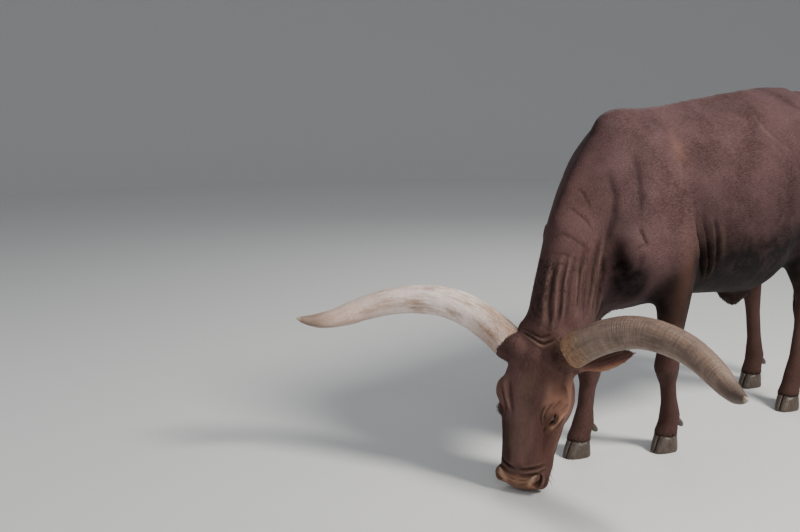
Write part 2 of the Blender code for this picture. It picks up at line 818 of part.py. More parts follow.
def horn_form(count=14, steps=20):
    """The left horn in the head frame, from its base plane to its blunt tip."""
    rings = []
    for k in range(steps + 1):
        t = HORN_START + (1 - HORN_START) * (k / steps) ** 0.94
        centre = spline(HORN_CONTROL, t)
        if k == 0:
            along = horn_base().to_3x3().col[2]
        else:
            along = (spline(HORN_CONTROL, t + 0.01) - spline(HORN_CONTROL, t - 0.01)).normalized()
        side = along.cross(Vector((0, 0, 1))).normalized()
        up = side.cross(along)
        radius = between(HORN_RADII, t)
        rings.append(ring(centre, side, up, radius * 1.05, radius * 1.02, radius * 1.02, count=count))
    return loft(rings)


EAR_SEAT = Vector((0.080, 0.124, -0.118))
EAR_ALONG = Vector((-0.400, 0.930, -0.120)).normalized()
EAR_LENGTH = 0.205
EAR_HALF_WIDTH = 0.052
EAR_CUP = 0.026
EAR_THICKNESS = 0.007


def ear_frame():
    """The left ear's own axes in the head frame: X across, Y towards its hollow, Z to its tip."""
    hollow = Vector((0.55, 0.10, 0.80))
    across = hollow.cross(EAR_ALONG).normalized()
    open_way = EAR_ALONG.cross(across).normalized()
    turn = Matrix((across, open_way, EAR_ALONG)).transposed()
    return Matrix.Translation(EAR_SEAT) @ turn.to_4x4()


def ear_form(rows=10, columns=9):
    """The left ear in its own frame: a stalk that opens into a cupped leaf with a blunt tip."""
    outer, inner = [], []
    for k in range(rows + 1):
        t = k / rows
        opening = min(1.0, t / 0.30)
        leaf = math.sin(math.pi * min(1.0, 0.16 + 0.84 * t) ** 0.88) ** 0.62
        half = 0.020 + (EAR_HALF_WIDTH - 0.020) * opening
        half = half * leaf if t > 0.30 else half * (0.9 + 0.1 * opening)
        half = max(half, 0.006)
        cup = EAR_CUP * (1 - t) ** 0.7 * (0.5 + 0.5 * opening) + 0.002
        thick = EAR_THICKNESS + (0.030 - EAR_THICKNESS) * (1 - opening) ** 1.5
        for row, offset in ((outer, 0.0), (inner, thick)):
            points = []
            for i in range(columns):
                across = 2 * i / (columns - 1) - 1
                bend = 1 - across * across
                depth = -cup * bend + offset * (0.35 + 0.65 * bend)
                points.append(Vector((half * across, depth, t * EAR_LENGTH)))
            row.append(points)
    return loft([list(o) + list(reversed(i)) for o, i in zip(outer, inner)])


def ball(centre, radius, count=18):
    return ellipsoid(centre, (radius, radius, radius), count=count)


# Cut details of the head


def nostril_cutter():
    """The left nostril: a slanting comma that runs back into the muzzle."""
    turn = Matrix.Rotation(math.radians(-35), 3, "X")
    return [
        ellipsoid((0.488, 0.058, -0.012), (0.014, 0.012, 0.024), turn, 12),
        ellipsoid((0.478, 0.071, -0.024), (0.019, 0.007, 0.015), turn, 10),
    ]


MOUTH_LINE = (
    (0.418, 0.0840, -0.1030), (0.445, 0.0830, -0.1000), (0.470, 0.0800, -0.0970),
    (0.492, 0.0740, -0.0945), (0.513, 0.0610, -0.0920), (0.526, 0.0330, -0.0890), (0.529, 0.0, -0.0880),
)


def mouth_cutter():
    """A thin tube along the line where the lips meet, from one corner to the other."""
    right = [(u, -v, w) for u, v, w in MOUTH_LINE[-2::-1]]
    path = list(MOUTH_LINE) + right
    count = len(path)
    rings = []
    for k, place in enumerate(path):
        along = (Vector(path[min(k + 1, count - 1)]) - Vector(path[max(k - 1, 0)])).normalized()
        up = Vector((0, 0, 1))
        side = along.cross(up).normalized()
        size = 0.0032 if 0 < k < count - 1 else 0.0015
        rings.append(ring(Vector(place), side, up, 0.009, size, size, count=8))
    return loft(rings)


def eye_frame():
    """The left eye's axes in the head frame: X along the slit, Z the way the eye looks."""
    across = (EYE_SLIT - EYE_GAZE * EYE_SLIT.dot(EYE_GAZE)).normalized()
    turn = Matrix((across, EYE_GAZE.cross(across), EYE_GAZE)).transposed()
    return Matrix.Translation(Vector(EYE_PLACE)) @ turn.to_4x4()


def lids():
    """The lids over the left eye as one thick cap, and the heavy fold of the brow over them."""
    size = EYE_RADIUS + LID_THICKNESS
    cap = ellipsoid((0, 0, 0), (size + 0.004, size, size), count=20)
    corner = rod(((0.022, 0.000, 0.004), (0.040, 0.000, -0.004)), (0.010, 0.006))
    return [moved(form, eye_frame()) for form in (cap, corner)]


def slit_cutter():
    """The almond opening between the left eye's lids, drawn from inside the ball outwards."""
    outline = []
    for i in range(12):
        angle = 2 * math.pi * i / 12
        reach = 0.0085 if math.sin(angle) > 0 else 0.0060
        outline.append((0.0200 * math.cos(angle), reach * math.sin(angle) * abs(math.sin(angle)) ** 0.3))
    rings = []
    for height, share in ((0.008, 0.80), (0.022, 1.0), (0.034, 1.15)):
        rings.append([eye_frame() @ Vector((x * share, y * share + 0.001, height)) for x, y in outline])
    return loft(rings)


# Tail

TAIL = (
    # x, y, z, half depth, half width
    (-1.215, 0.000, 1.318, 0.034, 0.050),
    (-1.262, 0.000, 1.314, 0.034, 0.046),
    (-1.318, 0.000, 1.292, 0.034, 0.042),
    (-1.352, 0.001, 1.238, 0.031, 0.038),
    (-1.368, 0.002, 1.160, 0.026, 0.032),
    (-1.374, 0.004, 1.050, 0.021, 0.026),
    (-1.375, 0.008, 0.920, 0.018, 0.021),
    (-1.374, 0.012, 0.790, 0.016, 0.018),
    (-1.372, 0.014, 0.660, 0.015, 0.016),
)
TAIL_CUT = -1.300
TAIL_END = Vector((-1.372, 0.014, 0.680))


def lock(root, tip, sway, width, thickness, steps=5):
    """A flat, tapering lock of hair from root to tip that bends by sway on its way."""
    root, tip, sway = Vector(root), Vector(tip), Vector(sway)
    along = (tip - root).normalized()
    across = along.cross(sway if sway.length > 1e-6 else Vector((1, 0, 0)))
    across = across.normalized()
    face = across.cross(along)
    rings = []
    for k in range(steps + 1):
        t = k / steps
        centre = root + (tip - root) * t + sway * math.sin(math.pi * t)
        size = max(0.06, (1 - t) ** 0.75)
        half, thick = width / 2 * size, thickness / 2 * size
        rings.append([centre + across * half, centre + face * thick,
                      centre - across * half, centre - face * thick])
    return loft(rings)


def switch_locks():
    """The tail's switch: locks in tiers round its core, each rooted well inside it."""
    chance = random.Random(SWITCH_SEED)
    end = TAIL_END
    tiers = ((-0.015, 0.17, 7), (-0.055, 0.23, 8), (-0.095, 0.27, 8), (-0.135, 0.29, 7))
    made = []
    for tier, (drop, length, count) in enumerate(tiers):
        for i in range(count):
            angle = 2 * math.pi * (i + 0.5 * (tier % 2)) / count + chance.uniform(-0.15, 0.15)
            out = Vector((math.cos(angle), math.sin(angle), 0))
            root = end + Vector((0, 0, drop)) + out * 0.004
            spread = chance.uniform(0.022, 0.042)
            reach = length * chance.uniform(0.88, 1.08)
            tip = root + out * spread + Vector((0, 0, -reach))
            made.append(lock(root, tip, out * chance.uniform(0.014, 0.026), 0.030, 0.011))
    return made


def switch_core():
    """The end of the tail inside the switch, at most half as long as the hair."""
    places = ((-GAP, 0.0155), (-0.060, 0.022), (-0.120, 0.019), (-0.175, 0.009))
    stations = [(*(TAIL_END + Vector((0, 0, drop))), size, size) for drop, size in places]
    return limb(stations, 10)


# Hooves


def claw(foot, outward):
    """One claw of a cloven hoof. outward is +1 for a claw on the animal's left of the cleft."""
    levels = (
        # height, then toe, heel and width as shares of the sole's
        (0.000, 0.97, 0.98, 0.97), (0.004, 1.00, 1.00, 1.00), (0.018, 0.96, 1.00, 1.00),
        (0.038, 0.80, 0.98, 0.97), (HOOF_HEIGHT - GAP, 0.64, 0.94, 0.92),
    )
    toe, heel = CLAW_LENGTH * 0.62, CLAW_LENGTH * 0.38
    steps = 8
    rings = []
    for height, toe_share, heel_share, width_share in levels:
        points = []
        for i in range(steps):
            angle = math.pi * i / (steps - 1)
            along = math.cos(angle)
            reach = toe * toe_share if along >= 0 else heel * heel_share
            bulge = math.sin(angle) ** 0.75 * (1.0 - 0.25 * max(along, 0))
            side = CLEFT / 2 + CLAW_WIDTH * width_share * bulge
            points.append(foot + Vector((along * reach, outward * side, height)))
        inner = foot + Vector((-heel * heel_share * 0.3, outward * CLEFT / 2, height))
        points.append(inner)
        rings.append(points)
    return loft(rings)


def dewclaw(fetlock, outward, extra):
    """The small claw behind the fetlock, as a blunt cone made larger all round by extra."""
    root = Vector(fetlock) + Vector((-0.022, outward * 0.018, -0.014))
    tip = root + Vector((-0.034, outward * 0.006, -0.030))
    along = (tip - root).normalized()
    side = along.orthogonal().normalized()
    up = along.cross(side)
    rings = []
    for t, size in ((0.0, 0.0145), (0.55, 0.0130), (0.86, 0.0085), (1.0, 0.0030)):
        shift = extra * (-1 if t == 0 else 1 if t == 1 else 0)
        centre = root + (tip - root) * t + along * shift
        reach = size + extra * 1.15
        rings.append(ring(centre, side, up, reach, reach, reach, count=8))
    return loft(rings)


# Assembly


def clear_scene():
    for old in list(bpy.data.objects):
        bpy.data.objects.remove(old)


def body_forms():
    forms = barrel() + topline() + breast() + sheath() + neck() + dewlap() + [limb(TAIL[:4], 16)]
    forms += both_sides(shoulder() + hip())
    for joints in FORE_JOINTS.values():
        forms += foreleg(*joints)
    for name, joints in HIND_JOINTS.items():
        forms += hindleg(1 if name == "left" else -1, *joints)
    return forms


def head_forms():
    masses, caps = head_masses(), lids()
    masses = masses + [mirrored_in_head(f) for f in masses]
    caps = caps + [mirrored_in_head(f) for f in caps]
    to_face = Matrix.Translation((0, FACE_SHIFT, 0))
    return in_head([faced(f) for f in skull() + head_middle() + masses] + [moved(f, to_face) for f in caps])


def frame_at(origin, angle):
    """Upright axes at a point, leaned about the axis from the animal's right to its left."""
    return Matrix.Translation(Vector(origin)) @ Matrix.Rotation(math.radians(angle), 4, "Y")


def side_frame(side):
    """The head frame, or its mirror image for the head's right side."""
    return HEAD @ Matrix.Diagonal((1, side, 1, 1))


def eye_side_frame(side):
    """The same frame, moved with the face, for the eye of that side."""
    return HEAD @ Matrix.Translation((0, FACE_SHIFT, 0)) @ Matrix.Diagonal((1, side, 1, 1))


def head_region():
    """What lies in front of a plane from behind the poll to the throat."""
    lean = Matrix(((0.678, 0, -0.735, 0.065), (0, 1, 0, 0), (0.735, 0, 0.678, -0.170), (0, 0, 0, 1)))
    return box_region(HEAD @ lean, (0, -0.4, -0.4), (0.8, 0.4, 0.5))


def neck_region():
    return box_region(frame_at((0.181, 0, 0.96), -13.4), (0, -0.4, -0.8), (0.8, 0.4, 0.6))


def foreleg_region(side):
    back = -0.230 if side > 0 else -0.155
    frame = frame_at((back, 0, 0.660), 9.9) @ Matrix.Diagonal((1, side, 1, 1))
    return stepped_region(frame, 0, 0.50, (0.001, 0.072), 0.5, -0.9, -0.105, 0)


def hindleg_region(side):
    frame = frame_at((-0.790, 0, 0.860), 8.0) @ Matrix.Diagonal((1, side, 1, 1))
    return stepped_region(frame, -0.8, 0, (0.001, 0.045), 0.5, -1.1, -0.24, 0)


def make_trunk():
    """The trunk, the neck and the legs down to the hooves, all still in one."""
    body = fused("torso", body_forms() + head_forms(), BODY_VOXEL)
    softened(body, 30, 0.52, 0.74)
    press(body, on_both_sides(BODY_STROKES))
    thinned(body, BODY_TRIANGLES)
    largest_shell(body)
    return body


def make_head():
    """The head with its sockets, mouth and nostrils."""
    whole = fused("whole", head_forms() + neck() + dewlap(), HEAD_VOXEL)
    softened(whole, 14)
    press(whole, strokes_in_head(HEAD_STROKES))
    thinned(whole, HEAD_TRIANGLES)
    largest_shell(whole)
    head = part_off(whole, "head", head_region())
    remove(whole)
    for side in (1, -1):
        frame = side_frame(side)
        flip = Matrix.Diagonal((1, side, 1, 1))
        cutters = [moved(f, eye_side_frame(side)) for f in (ball(EYE_PLACE, EYE_RADIUS + GAP), slit_cutter())]
        cutters += [moved(faced(moved(f, flip)), HEAD) for f in nostril_cutter()]
        for form in cutters:
            combine(head, object_of("cutter", [form]), "DIFFERENCE")
        cleared(head, frame @ horn_base(), (-0.10, -0.10, -GAP), (0.10, 0.10, 0.16))
        cleared(head, frame @ ear_frame(), (-0.05, -0.05, -GAP), (0.05, 0.05, 0.10))
    combine(head, object_of("cutter", in_head([faced(mouth_cutter())])), "DIFFERENCE")
    largest_shell(head)
    return head


def make_head_fittings():
    """Eyes, horns and ears, which stand a thin gap off the head."""
    for side, word in ((1, "left"), (-1, "right")):
        frame = side_frame(side)
        object_of("eye_" + word, [moved(ball(EYE_PLACE, EYE_RADIUS), eye_side_frame(side))], EYE)
        object_of("horn_" + word, [moved(horn_form(), frame)], HORN)
        object_of("ear_" + word, [moved(ear_form(), frame @ ear_frame())])


def finish_leg(leg, word, joints):
    """Ends a leg at its coronet, and adds its two claws and two dewclaws."""
    cleared(leg, Matrix.Identity(4), (-2, -1, -0.2), (1, 1, HOOF_HEIGHT))
    fetlock, coronet = joints[2], joints[3]
    foot = Vector((coronet[0] + 0.004, coronet[1], 0))
    for outward, place in ((1, "left"), (-1, "right")):
        combine(leg, object_of("cutter", [dewclaw(fetlock, outward, GAP)]), "DIFFERENCE")
        object_of("dewclaw_%s_%s" % (word, place), [dewclaw(fetlock, outward, 0.0)], HOOF)
        object_of("claw_%s_%s" % (word, place), [claw(foot, outward)], HOOF)
    largest_shell(leg)


def make_tail(body):
    """The tail hangs from a stub on the trunk; its switch is a node of its own."""
    cleared(body, Matrix.Identity(4), (-1.6, -0.08, 1.16), (TAIL_CUT, 0.08, 1.5))
    tail = object_of("tail", [limb(TAIL[1:], 14)])
    cleared(tail, Matrix.Identity(4), (TAIL_CUT - GAP, -0.2, 1.0), (0, 0.2, 1.5))
    cleared(tail, Matrix.Identity(4), (-2, -0.2, 0.5), (0, 0.2, TAIL_END.z))
    switch = object_of("tail_switch", [switch_core()], SWITCH)
    if LOCKS:
        fuse_all(switch, [object_of("lock", [form], SWITCH) for form in switch_locks()])


def settled():
    """Stands the middle of the whole model's box over the origin."""
    shown = [o for o in bpy.data.objects if not o.hide_render]
    corners = [v.co for o in shown for v in o.data.vertices]
    middle = [(min(c[i] for c in corners) + max(c[i] for c in corners)) / 2 for i in (0, 1)]
    for item in shown:
        item.data.transform(Matrix.Translation((-middle[0], -middle[1], 0)))


def main():
    clear_scene()
    body = make_trunk()
    make_head()
    make_head_fittings()
    part_off(body, "head_stub", head_region())
    remove(bpy.data.objects["head_stub"])
    part_off(body, "neck", neck_region())
    for side, word in ((1, "left"), (-1, "right")):
        fore = part_off(body, "foreleg_" + word, foreleg_region(side))
        finish_leg(fore, "fore_" + word, FORE_JOINTS[word])
        hind = part_off(body, "hindleg_" + word, hindleg_region(side))
        finish_leg(hind, "hind_" + word, HIND_JOINTS[word])
    make_tail(body)
    settled()


main()
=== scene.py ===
"""The looks of a grazing ankole watusi ox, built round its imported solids.

One skin stands for all the flesh. The eyes, horns, hooves and hair are pieces of their own.
Lengths are in metres. Places on the head are given as (down the face, to its left, out of the face).
"""

import math
from contextlib import contextmanager

import bmesh
import bpy
import numpy as np
from mathutils import Matrix, Vector, noise
from mathutils.kdtree import KDTree

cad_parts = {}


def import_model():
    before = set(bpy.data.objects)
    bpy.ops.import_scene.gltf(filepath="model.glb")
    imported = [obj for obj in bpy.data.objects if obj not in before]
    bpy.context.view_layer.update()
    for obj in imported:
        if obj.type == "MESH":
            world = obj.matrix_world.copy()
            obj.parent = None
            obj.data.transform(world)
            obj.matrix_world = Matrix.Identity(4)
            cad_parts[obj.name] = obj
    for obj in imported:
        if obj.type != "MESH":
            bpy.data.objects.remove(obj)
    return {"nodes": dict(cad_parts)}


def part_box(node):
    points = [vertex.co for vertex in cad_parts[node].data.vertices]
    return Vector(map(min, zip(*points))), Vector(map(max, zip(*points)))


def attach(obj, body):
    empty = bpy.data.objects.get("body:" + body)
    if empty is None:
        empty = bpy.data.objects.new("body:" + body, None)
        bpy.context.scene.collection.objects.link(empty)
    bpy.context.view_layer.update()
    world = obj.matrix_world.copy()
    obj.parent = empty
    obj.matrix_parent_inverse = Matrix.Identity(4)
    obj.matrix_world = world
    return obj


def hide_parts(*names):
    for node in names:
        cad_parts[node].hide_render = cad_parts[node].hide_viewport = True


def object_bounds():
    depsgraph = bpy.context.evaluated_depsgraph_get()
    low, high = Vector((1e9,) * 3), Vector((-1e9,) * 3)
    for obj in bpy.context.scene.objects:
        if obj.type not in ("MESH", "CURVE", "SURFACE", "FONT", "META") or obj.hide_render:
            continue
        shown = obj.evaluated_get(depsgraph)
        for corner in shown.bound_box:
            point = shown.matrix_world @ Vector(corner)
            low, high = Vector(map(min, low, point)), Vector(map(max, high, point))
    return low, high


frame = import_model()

CAD_BOX = [list(corner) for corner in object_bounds()]

# Resolution of the skin
BODY_VOXEL = 0.0070
HEAD_VOXEL = 0.0028

# Head frame: how far the face is turned and leaned, and where the eye sits in it
HEAD_YAW = math.radians(13.4)
HEAD_LEAN = math.radians(8.8)
HEAD_ROLL = math.radians(1.4)
EYE_RADIUS = 0.0200
EYE_ROOM = 0.0002
EYE_PLACE = Vector((0.2580, 0.0880, -0.0400))
EYE_GAZE = Vector((0.10, 0.74, 0.66)).normalized()
EYE_SLIT = Vector((0.93, -0.33, 0.15)).normalized()

# The face below the poll: how far its middle lies to the head's right, and its added width
FACE_SHIFT = -0.018
FACE_WIDENING = 0.085
FACE_START = 0.060
FACE_FULL = 0.200
TO_FACE = Vector((0, FACE_SHIFT, 0))

FLESH = (
    "torso", "neck", "head", "tail", "ear_left", "ear_right",
    "foreleg_left", "foreleg_right", "hindleg_left", "hindleg_right",
)

# The plane behind the jaw where the fine skin of the head meets the coarser skin of the body
SEAM_POINT = np.array((0.500, 0.0, 0.380))
SEAM_ALONG = np.array((0.745, 0.0, -0.667))
SEAM_ACROSS = np.array((0.667, 0.0, 0.745))
SEAM_GAP = 0.004

# How far below the seam's point the plane still parts head and body: under that it passes through the legs
SEAM_FOOT = -0.20

# How near the seam plane faces are cut along it
SEAM_BAND = 0.03

# The ear's middle line in the head frame, and how far from it the ear reaches
EAR_SEAT = np.array((0.080, 0.124, -0.118))
EAR_ALONG = np.array((-0.400, 0.930, -0.120))
EAR_REACH = 0.062

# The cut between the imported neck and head, in the head frame
NECK_CUT_POINT = np.array((0.065, 0.0, -0.170))
NECK_CUT_ALONG = np.array((0.678, 0.0, 0.735))


# Frames


def head_turn():
    """The head's axes in the row frame, as columns: down the face, to its left, out of the face."""
    down = Vector((math.sin(HEAD_LEAN), 0, -math.cos(HEAD_LEAN)))
    left = Vector((0, 1, 0))
    out = Vector((math.cos(HEAD_LEAN), 0, math.sin(HEAD_LEAN)))
    rolled_left = left * math.cos(HEAD_ROLL) + down * math.sin(HEAD_ROLL)
    rolled_down = down * math.cos(HEAD_ROLL) - left * math.sin(HEAD_ROLL)
    columns = Matrix((rolled_down, rolled_left, out)).transposed()
    return Matrix.Rotation(HEAD_YAW, 3, "Z") @ columns


def head_frame():
    """The head frame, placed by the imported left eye."""
    low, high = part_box("eye_left")
    turn = head_turn()
    return Matrix.Translation((low + high) / 2 - turn @ (EYE_PLACE + TO_FACE)) @ turn.to_4x4()


HEAD = head_frame()
HEAD_BACK = HEAD.inverted()
SIDES = ((1, "left"), (-1, "right"))


def side_frame(side):
    """The head frame, or its mirror image for the head's right side."""
    return HEAD @ Matrix.Diagonal((1, side, 1, 1))


def eye_frame(side):
    """Axes at an eye's centre: X along the slit to the inner corner, Z the way the eye looks."""
    across = (EYE_SLIT - EYE_GAZE * EYE_SLIT.dot(EYE_GAZE)).normalized()
    turn = Matrix((across, EYE_GAZE.cross(across), EYE_GAZE)).transposed()
    mirror = Matrix.Diagonal((1, side, 1, 1))
    return HEAD @ Matrix.Translation(TO_FACE) @ mirror @ Matrix.Translation(EYE_PLACE) @ turn.to_4x4()


def carried(points, matrix):
    """An array of points carried through a matrix."""
    turn = np.array(matrix.to_3x3())
    return points @ turn.T + np.array(matrix.translation)


def on_face(place, side=1):
    """A place of the even-sided head, on one of its sides, carried to the row frame."""
    u, v, w = place
    share = float(ramp(u, FACE_START, FACE_FULL))
    return HEAD @ Vector((u, side * v * (1 + FACE_WIDENING * share) + FACE_SHIFT * share, w))


def even_head(points):
    """Row-frame points in the head frame, with the face's shift and widening undone."""
    local = carried(points, HEAD_BACK)
    share = ramp(local[:, 0], FACE_START, FACE_FULL)
    local[:, 1] = (local[:, 1] - FACE_SHIFT * share) / (1 + FACE_WIDENING * share)
    return local


def eye_distance(points):
    """How far each point is from the middle of the nearer eye."""
    middles = [np.array(eye_frame(side).translation) for side, _ in SIDES]
    return np.min([np.linalg.norm(points - middle, axis=1) for middle in middles], axis=0)


# Meshes


def linked(name, mesh):
    made = bpy.data.objects.new(name, mesh)
    bpy.context.scene.collection.objects.link(made)
    return made


def mesh_object(name, points, faces):
    mesh = bpy.data.meshes.new(name)
    mesh.from_pydata([tuple(p) for p in points], [], faces)
    mesh.update()
    return linked(name, mesh)


def read(rows, key, width, kind=float):
    """A property of every row of a mesh, as an array with so many columns."""
    found = np.empty(len(rows) * width, kind)
    rows.foreach_get(key, found)
    return found.reshape(-1, width)


def places(mesh):
    return read(mesh.vertices, "co", 3)


def place(mesh, points):
    mesh.vertices.foreach_set("co", np.ascontiguousarray(points, dtype=np.float32).ravel())
    mesh.update()


def normals(mesh):
    return read(mesh.vertex_normals, "vector", 3)


def edges(mesh):
    return read(mesh.edges, "vertices", 2, np.int64)


@contextmanager
def edited(mesh):
    """An edit of a mesh, written back when it ends."""
    work = bmesh.new()
    work.from_mesh(mesh)
    yield work
    work.to_mesh(mesh)
    work.free()


def fix_normals(target):
    with edited(target.data) as work:
        bmesh.ops.recalc_face_normals(work, faces=work.faces)


def smooth_shaded(target):
    target.data.polygons.foreach_set("use_smooth", [True] * len(target.data.polygons))


def apply_modifiers(target):
    """Bakes the modifiers of an object into its mesh."""
    bpy.context.view_layer.update()
    graph = bpy.context.evaluated_depsgraph_get()
    baked = bpy.data.meshes.new_from_object(target.evaluated_get(graph))
    target.modifiers.clear()
    target.data = baked


def joined(name, nodes, swell):
    """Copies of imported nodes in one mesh, each moved out along its normals by swell[node]."""
    work = bmesh.new()
    for node in nodes:
        part = bmesh.new()
        part.from_mesh(frame["nodes"][node].data)
        bmesh.ops.remove_doubles(part, verts=part.verts, dist=1e-6)
        part.normal_update()
        extra = swell.get(node, 0.0)
        for vertex in part.verts:
            vertex.co += vertex.normal * extra
        held = bpy.data.meshes.new("held")
        part.to_mesh(held)
        part.free()
        work.from_mesh(held)
        bpy.data.meshes.remove(held)
    mesh = bpy.data.meshes.new(name)
    work.to_mesh(mesh)
    work.free()
    return linked(name, mesh)


def join_into(target, other):
    """Adds the mesh of another object to the target, and removes that object."""
    with edited(target.data) as work:
        work.from_mesh(other.data)
    bpy.data.objects.remove(other)


def remeshed(target, voxel):
    step = target.modifiers.new("voxels", "REMESH")
    step.mode = "VOXEL"
    step.voxel_size = voxel
    apply_modifiers(target)
    return target


def relaxed(points, pairs, passes, weight):
    """Each point drawn towards the middle of its neighbours, by its own weight."""
    count = len(points)
    a, b = pairs[:, 0], pairs[:, 1]
    degree = np.maximum(np.bincount(pairs.ravel(), minlength=count), 1)[:, None]
    share = 0.5 * np.asarray(weight).reshape(-1, 1) * np.ones((count, 1))
    for _ in range(passes):
        total = np.stack(
            [np.bincount(a, points[b, i], count) + np.bincount(b, points[a, i], count) for i in range(3)],
            axis=1,
        )
        points = points + share * (total / degree - points)
    return points


def ramp(value, low, high):
    """A smooth step from 0 at low to 1 at high."""
    t = np.clip((value - low) / (high - low), 0, 1)
    return t * t * (3 - 2 * t)


def hill(*rows):
    """1 where each value is at its middle, and falling to 0 over about twice its width."""
    return np.exp(-sum(((value - middle) / width) ** 2 for value, middle, width in rows))


# Sculpting


def along_path(points, path):
    """For each point its distance to a path, and how far along the path the nearest place is, 0 to 1."""
    path = np.array(path, float)
    lengths = np.linalg.norm(path[1:] - path[:-1], axis=1)
    total = max(lengths.sum(), 1e-9)
    nearest = np.full(len(points), np.inf)
    travel = np.zeros(len(points))
    before = 0.0
    for start, stop, length in zip(path[:-1], path[1:], lengths):
        way = stop - start
        share = np.clip((points - start) @ way / max(way @ way, 1e-12), 0, 1)
        distance = np.linalg.norm(points - start - share[:, None] * way, axis=1)
        closer = distance < nearest
        nearest[closer] = distance[closer]
        travel[closer] = ((before + share * length) / total)[closer]
        before += length
    return nearest, travel


def close_to(points, path, reach):
    """The numbers of the points in a box round a path."""
    low, high = np.min(path, axis=0) - reach, np.max(path, axis=0) + reach
    return np.flatnonzero(np.all((points > low) & (points < high), axis=1))


def sculpt(mesh, strokes):
    """Raises or sinks the surface along strokes of (path, radius, height, sharpness)."""
    points, outward = places(mesh), normals(mesh)
    moves = np.zeros(len(points))
    for path, radius, height, power in strokes:
        near = close_to(points, path, radius * 3.2)
        if not len(near):
            continue
        distance, travel = along_path(points[near], path)
        fade = ramp(travel, -0.02, 0.30) * (1 - ramp(travel, 0.70, 1.02))
        moves[near] += height * fade * np.exp(-((distance / radius) ** power))
    place(mesh, points + outward * moves[:, None])


def mirrored(strokes):
    """Strokes on the body's left, and the same ones on its right."""
    flipped = [
        (tuple((x, 2 * MIDDLE - y, z) for x, y, z in path), *rest) for path, *rest in strokes
    ]
    return list(strokes) + flipped


def on_head(strokes, sides=(1, -1)):
    """Strokes given in the head frame for its left side, carried to the row frame."""
    made = []
    for side in sides:
        for path, *rest in strokes:
            made.append((tuple(tuple(on_face(p, side)) for p in path), *rest))
    return made


def laid_on(strokes, mesh):
    """The strokes with each of their places moved onto the mesh along the mesh's normal there."""
    points, outward = places(mesh), normals(mesh)
    tree = KDTree(len(points))
    for k, point in enumerate(points):
        tree.insert(point, k)
    tree.balance()
    made = []
    for path, *rest in strokes:
        moved = []
        for corner in path:
            _, k, _ = tree.find(corner)
            corner = np.array(corner)
            moved.append(tuple(corner - outward[k] * ((corner - points[k]) @ outward[k])))
        made.append((tuple(moved), *rest))
    return made


def body_middle():
    low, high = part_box("torso")
    return (low.y + high.y) / 2


MIDDLE = body_middle()


def fold(radius, height, sharpness, *corners):
    """A stroke of (path, radius, height, sharpness), in metres. It is given in millimetres."""
    path = tuple(tuple(value / 1000 for value in corner) for corner in corners)
    return path, radius / 1000, height / 1000, sharpness


# Strokes of the trunk, on its left, for both sides
BODY_STROKES = [
    # Folds of loose skin behind the elbow: dark grooves between rolled ridges
    fold(8, -20, 1.6, (108, 153, 940), (100, 161, 870), (60, 152, 805), (15, 139, 735), (-20, 112, 670)),
    fold(7.5, 12, 2, (85, 150, 945), (69, 156, 890), (36, 153, 815), (0, 142, 740), (-28, 112, 670)),
    fold(7.5, -18, 1.6, (52, 150, 960), (44, 157, 890), (18, 156, 810), (-10, 145, 740), (-34, 115, 675)),
    fold(8.5, 10, 2, (22, 158, 950), (8, 165, 877), (-14, 160, 795), (-32, 145, 725), (-46, 118, 675)),
    fold(8, -13, 1.6, (-6, 168, 930), (-18, 173, 860), (-34, 167, 785), (-50, 147, 715)),
    fold(13, 4, 2, (-30, 178, 900), (-52, 177, 825), (-65, 162, 750)),
    # Back edge of the upper arm
    fold(13, 7, 2, (120, 150, 985), (124, 160, 900), (100, 160, 820), (45, 142, 740)),
    # Hollow under the point of the shoulder, and the bulge above it
    fold(30, -11, 2, (412, 118, 800), (372, 128, 790)),
    fold(28, 9, 2, (401, 118, 900), (392, 128, 850)),
    fold(10, -7, 1.7, (384, 112, 924), (377, 126, 878), (352, 132, 845)),
    # Groove down the blade, and the blade's back edge
    fold(13, -5, 1.8, (341, 45, 1170), (339, 64, 1102), (353, 91, 1023), (380, 109, 940)),
    fold(20, 5, 2, (60, 40, 1225), (122, 81, 1153), (158, 123, 1057), (151, 152, 951)),
    # Groove between the neck and the shoulder
    fold(12, -7, 1.7, (442, 4, 1116), (443, 47, 1027), (458, 57, 949), (479, 53, 904), (503, 42, 820)),
    fold(26, -13, 2, (464, 60, 900), (448, 66, 820), (428, 80, 755), (388, 102, 730)),
    # Hollow of the flank and the ridge under it
    fold(34, -7, 2, (-500, -18, 1325), (-530, 60, 1275), (-566, 104, 1195)),
    fold(15, 6, 2, (-402, 10, 1300), (-437, 86, 1227), (-496, 146, 1150), (-595, 170, 1095)),
    fold(28, -6, 2, (-369, 165, 1145), (-448, 190, 1078)),
]

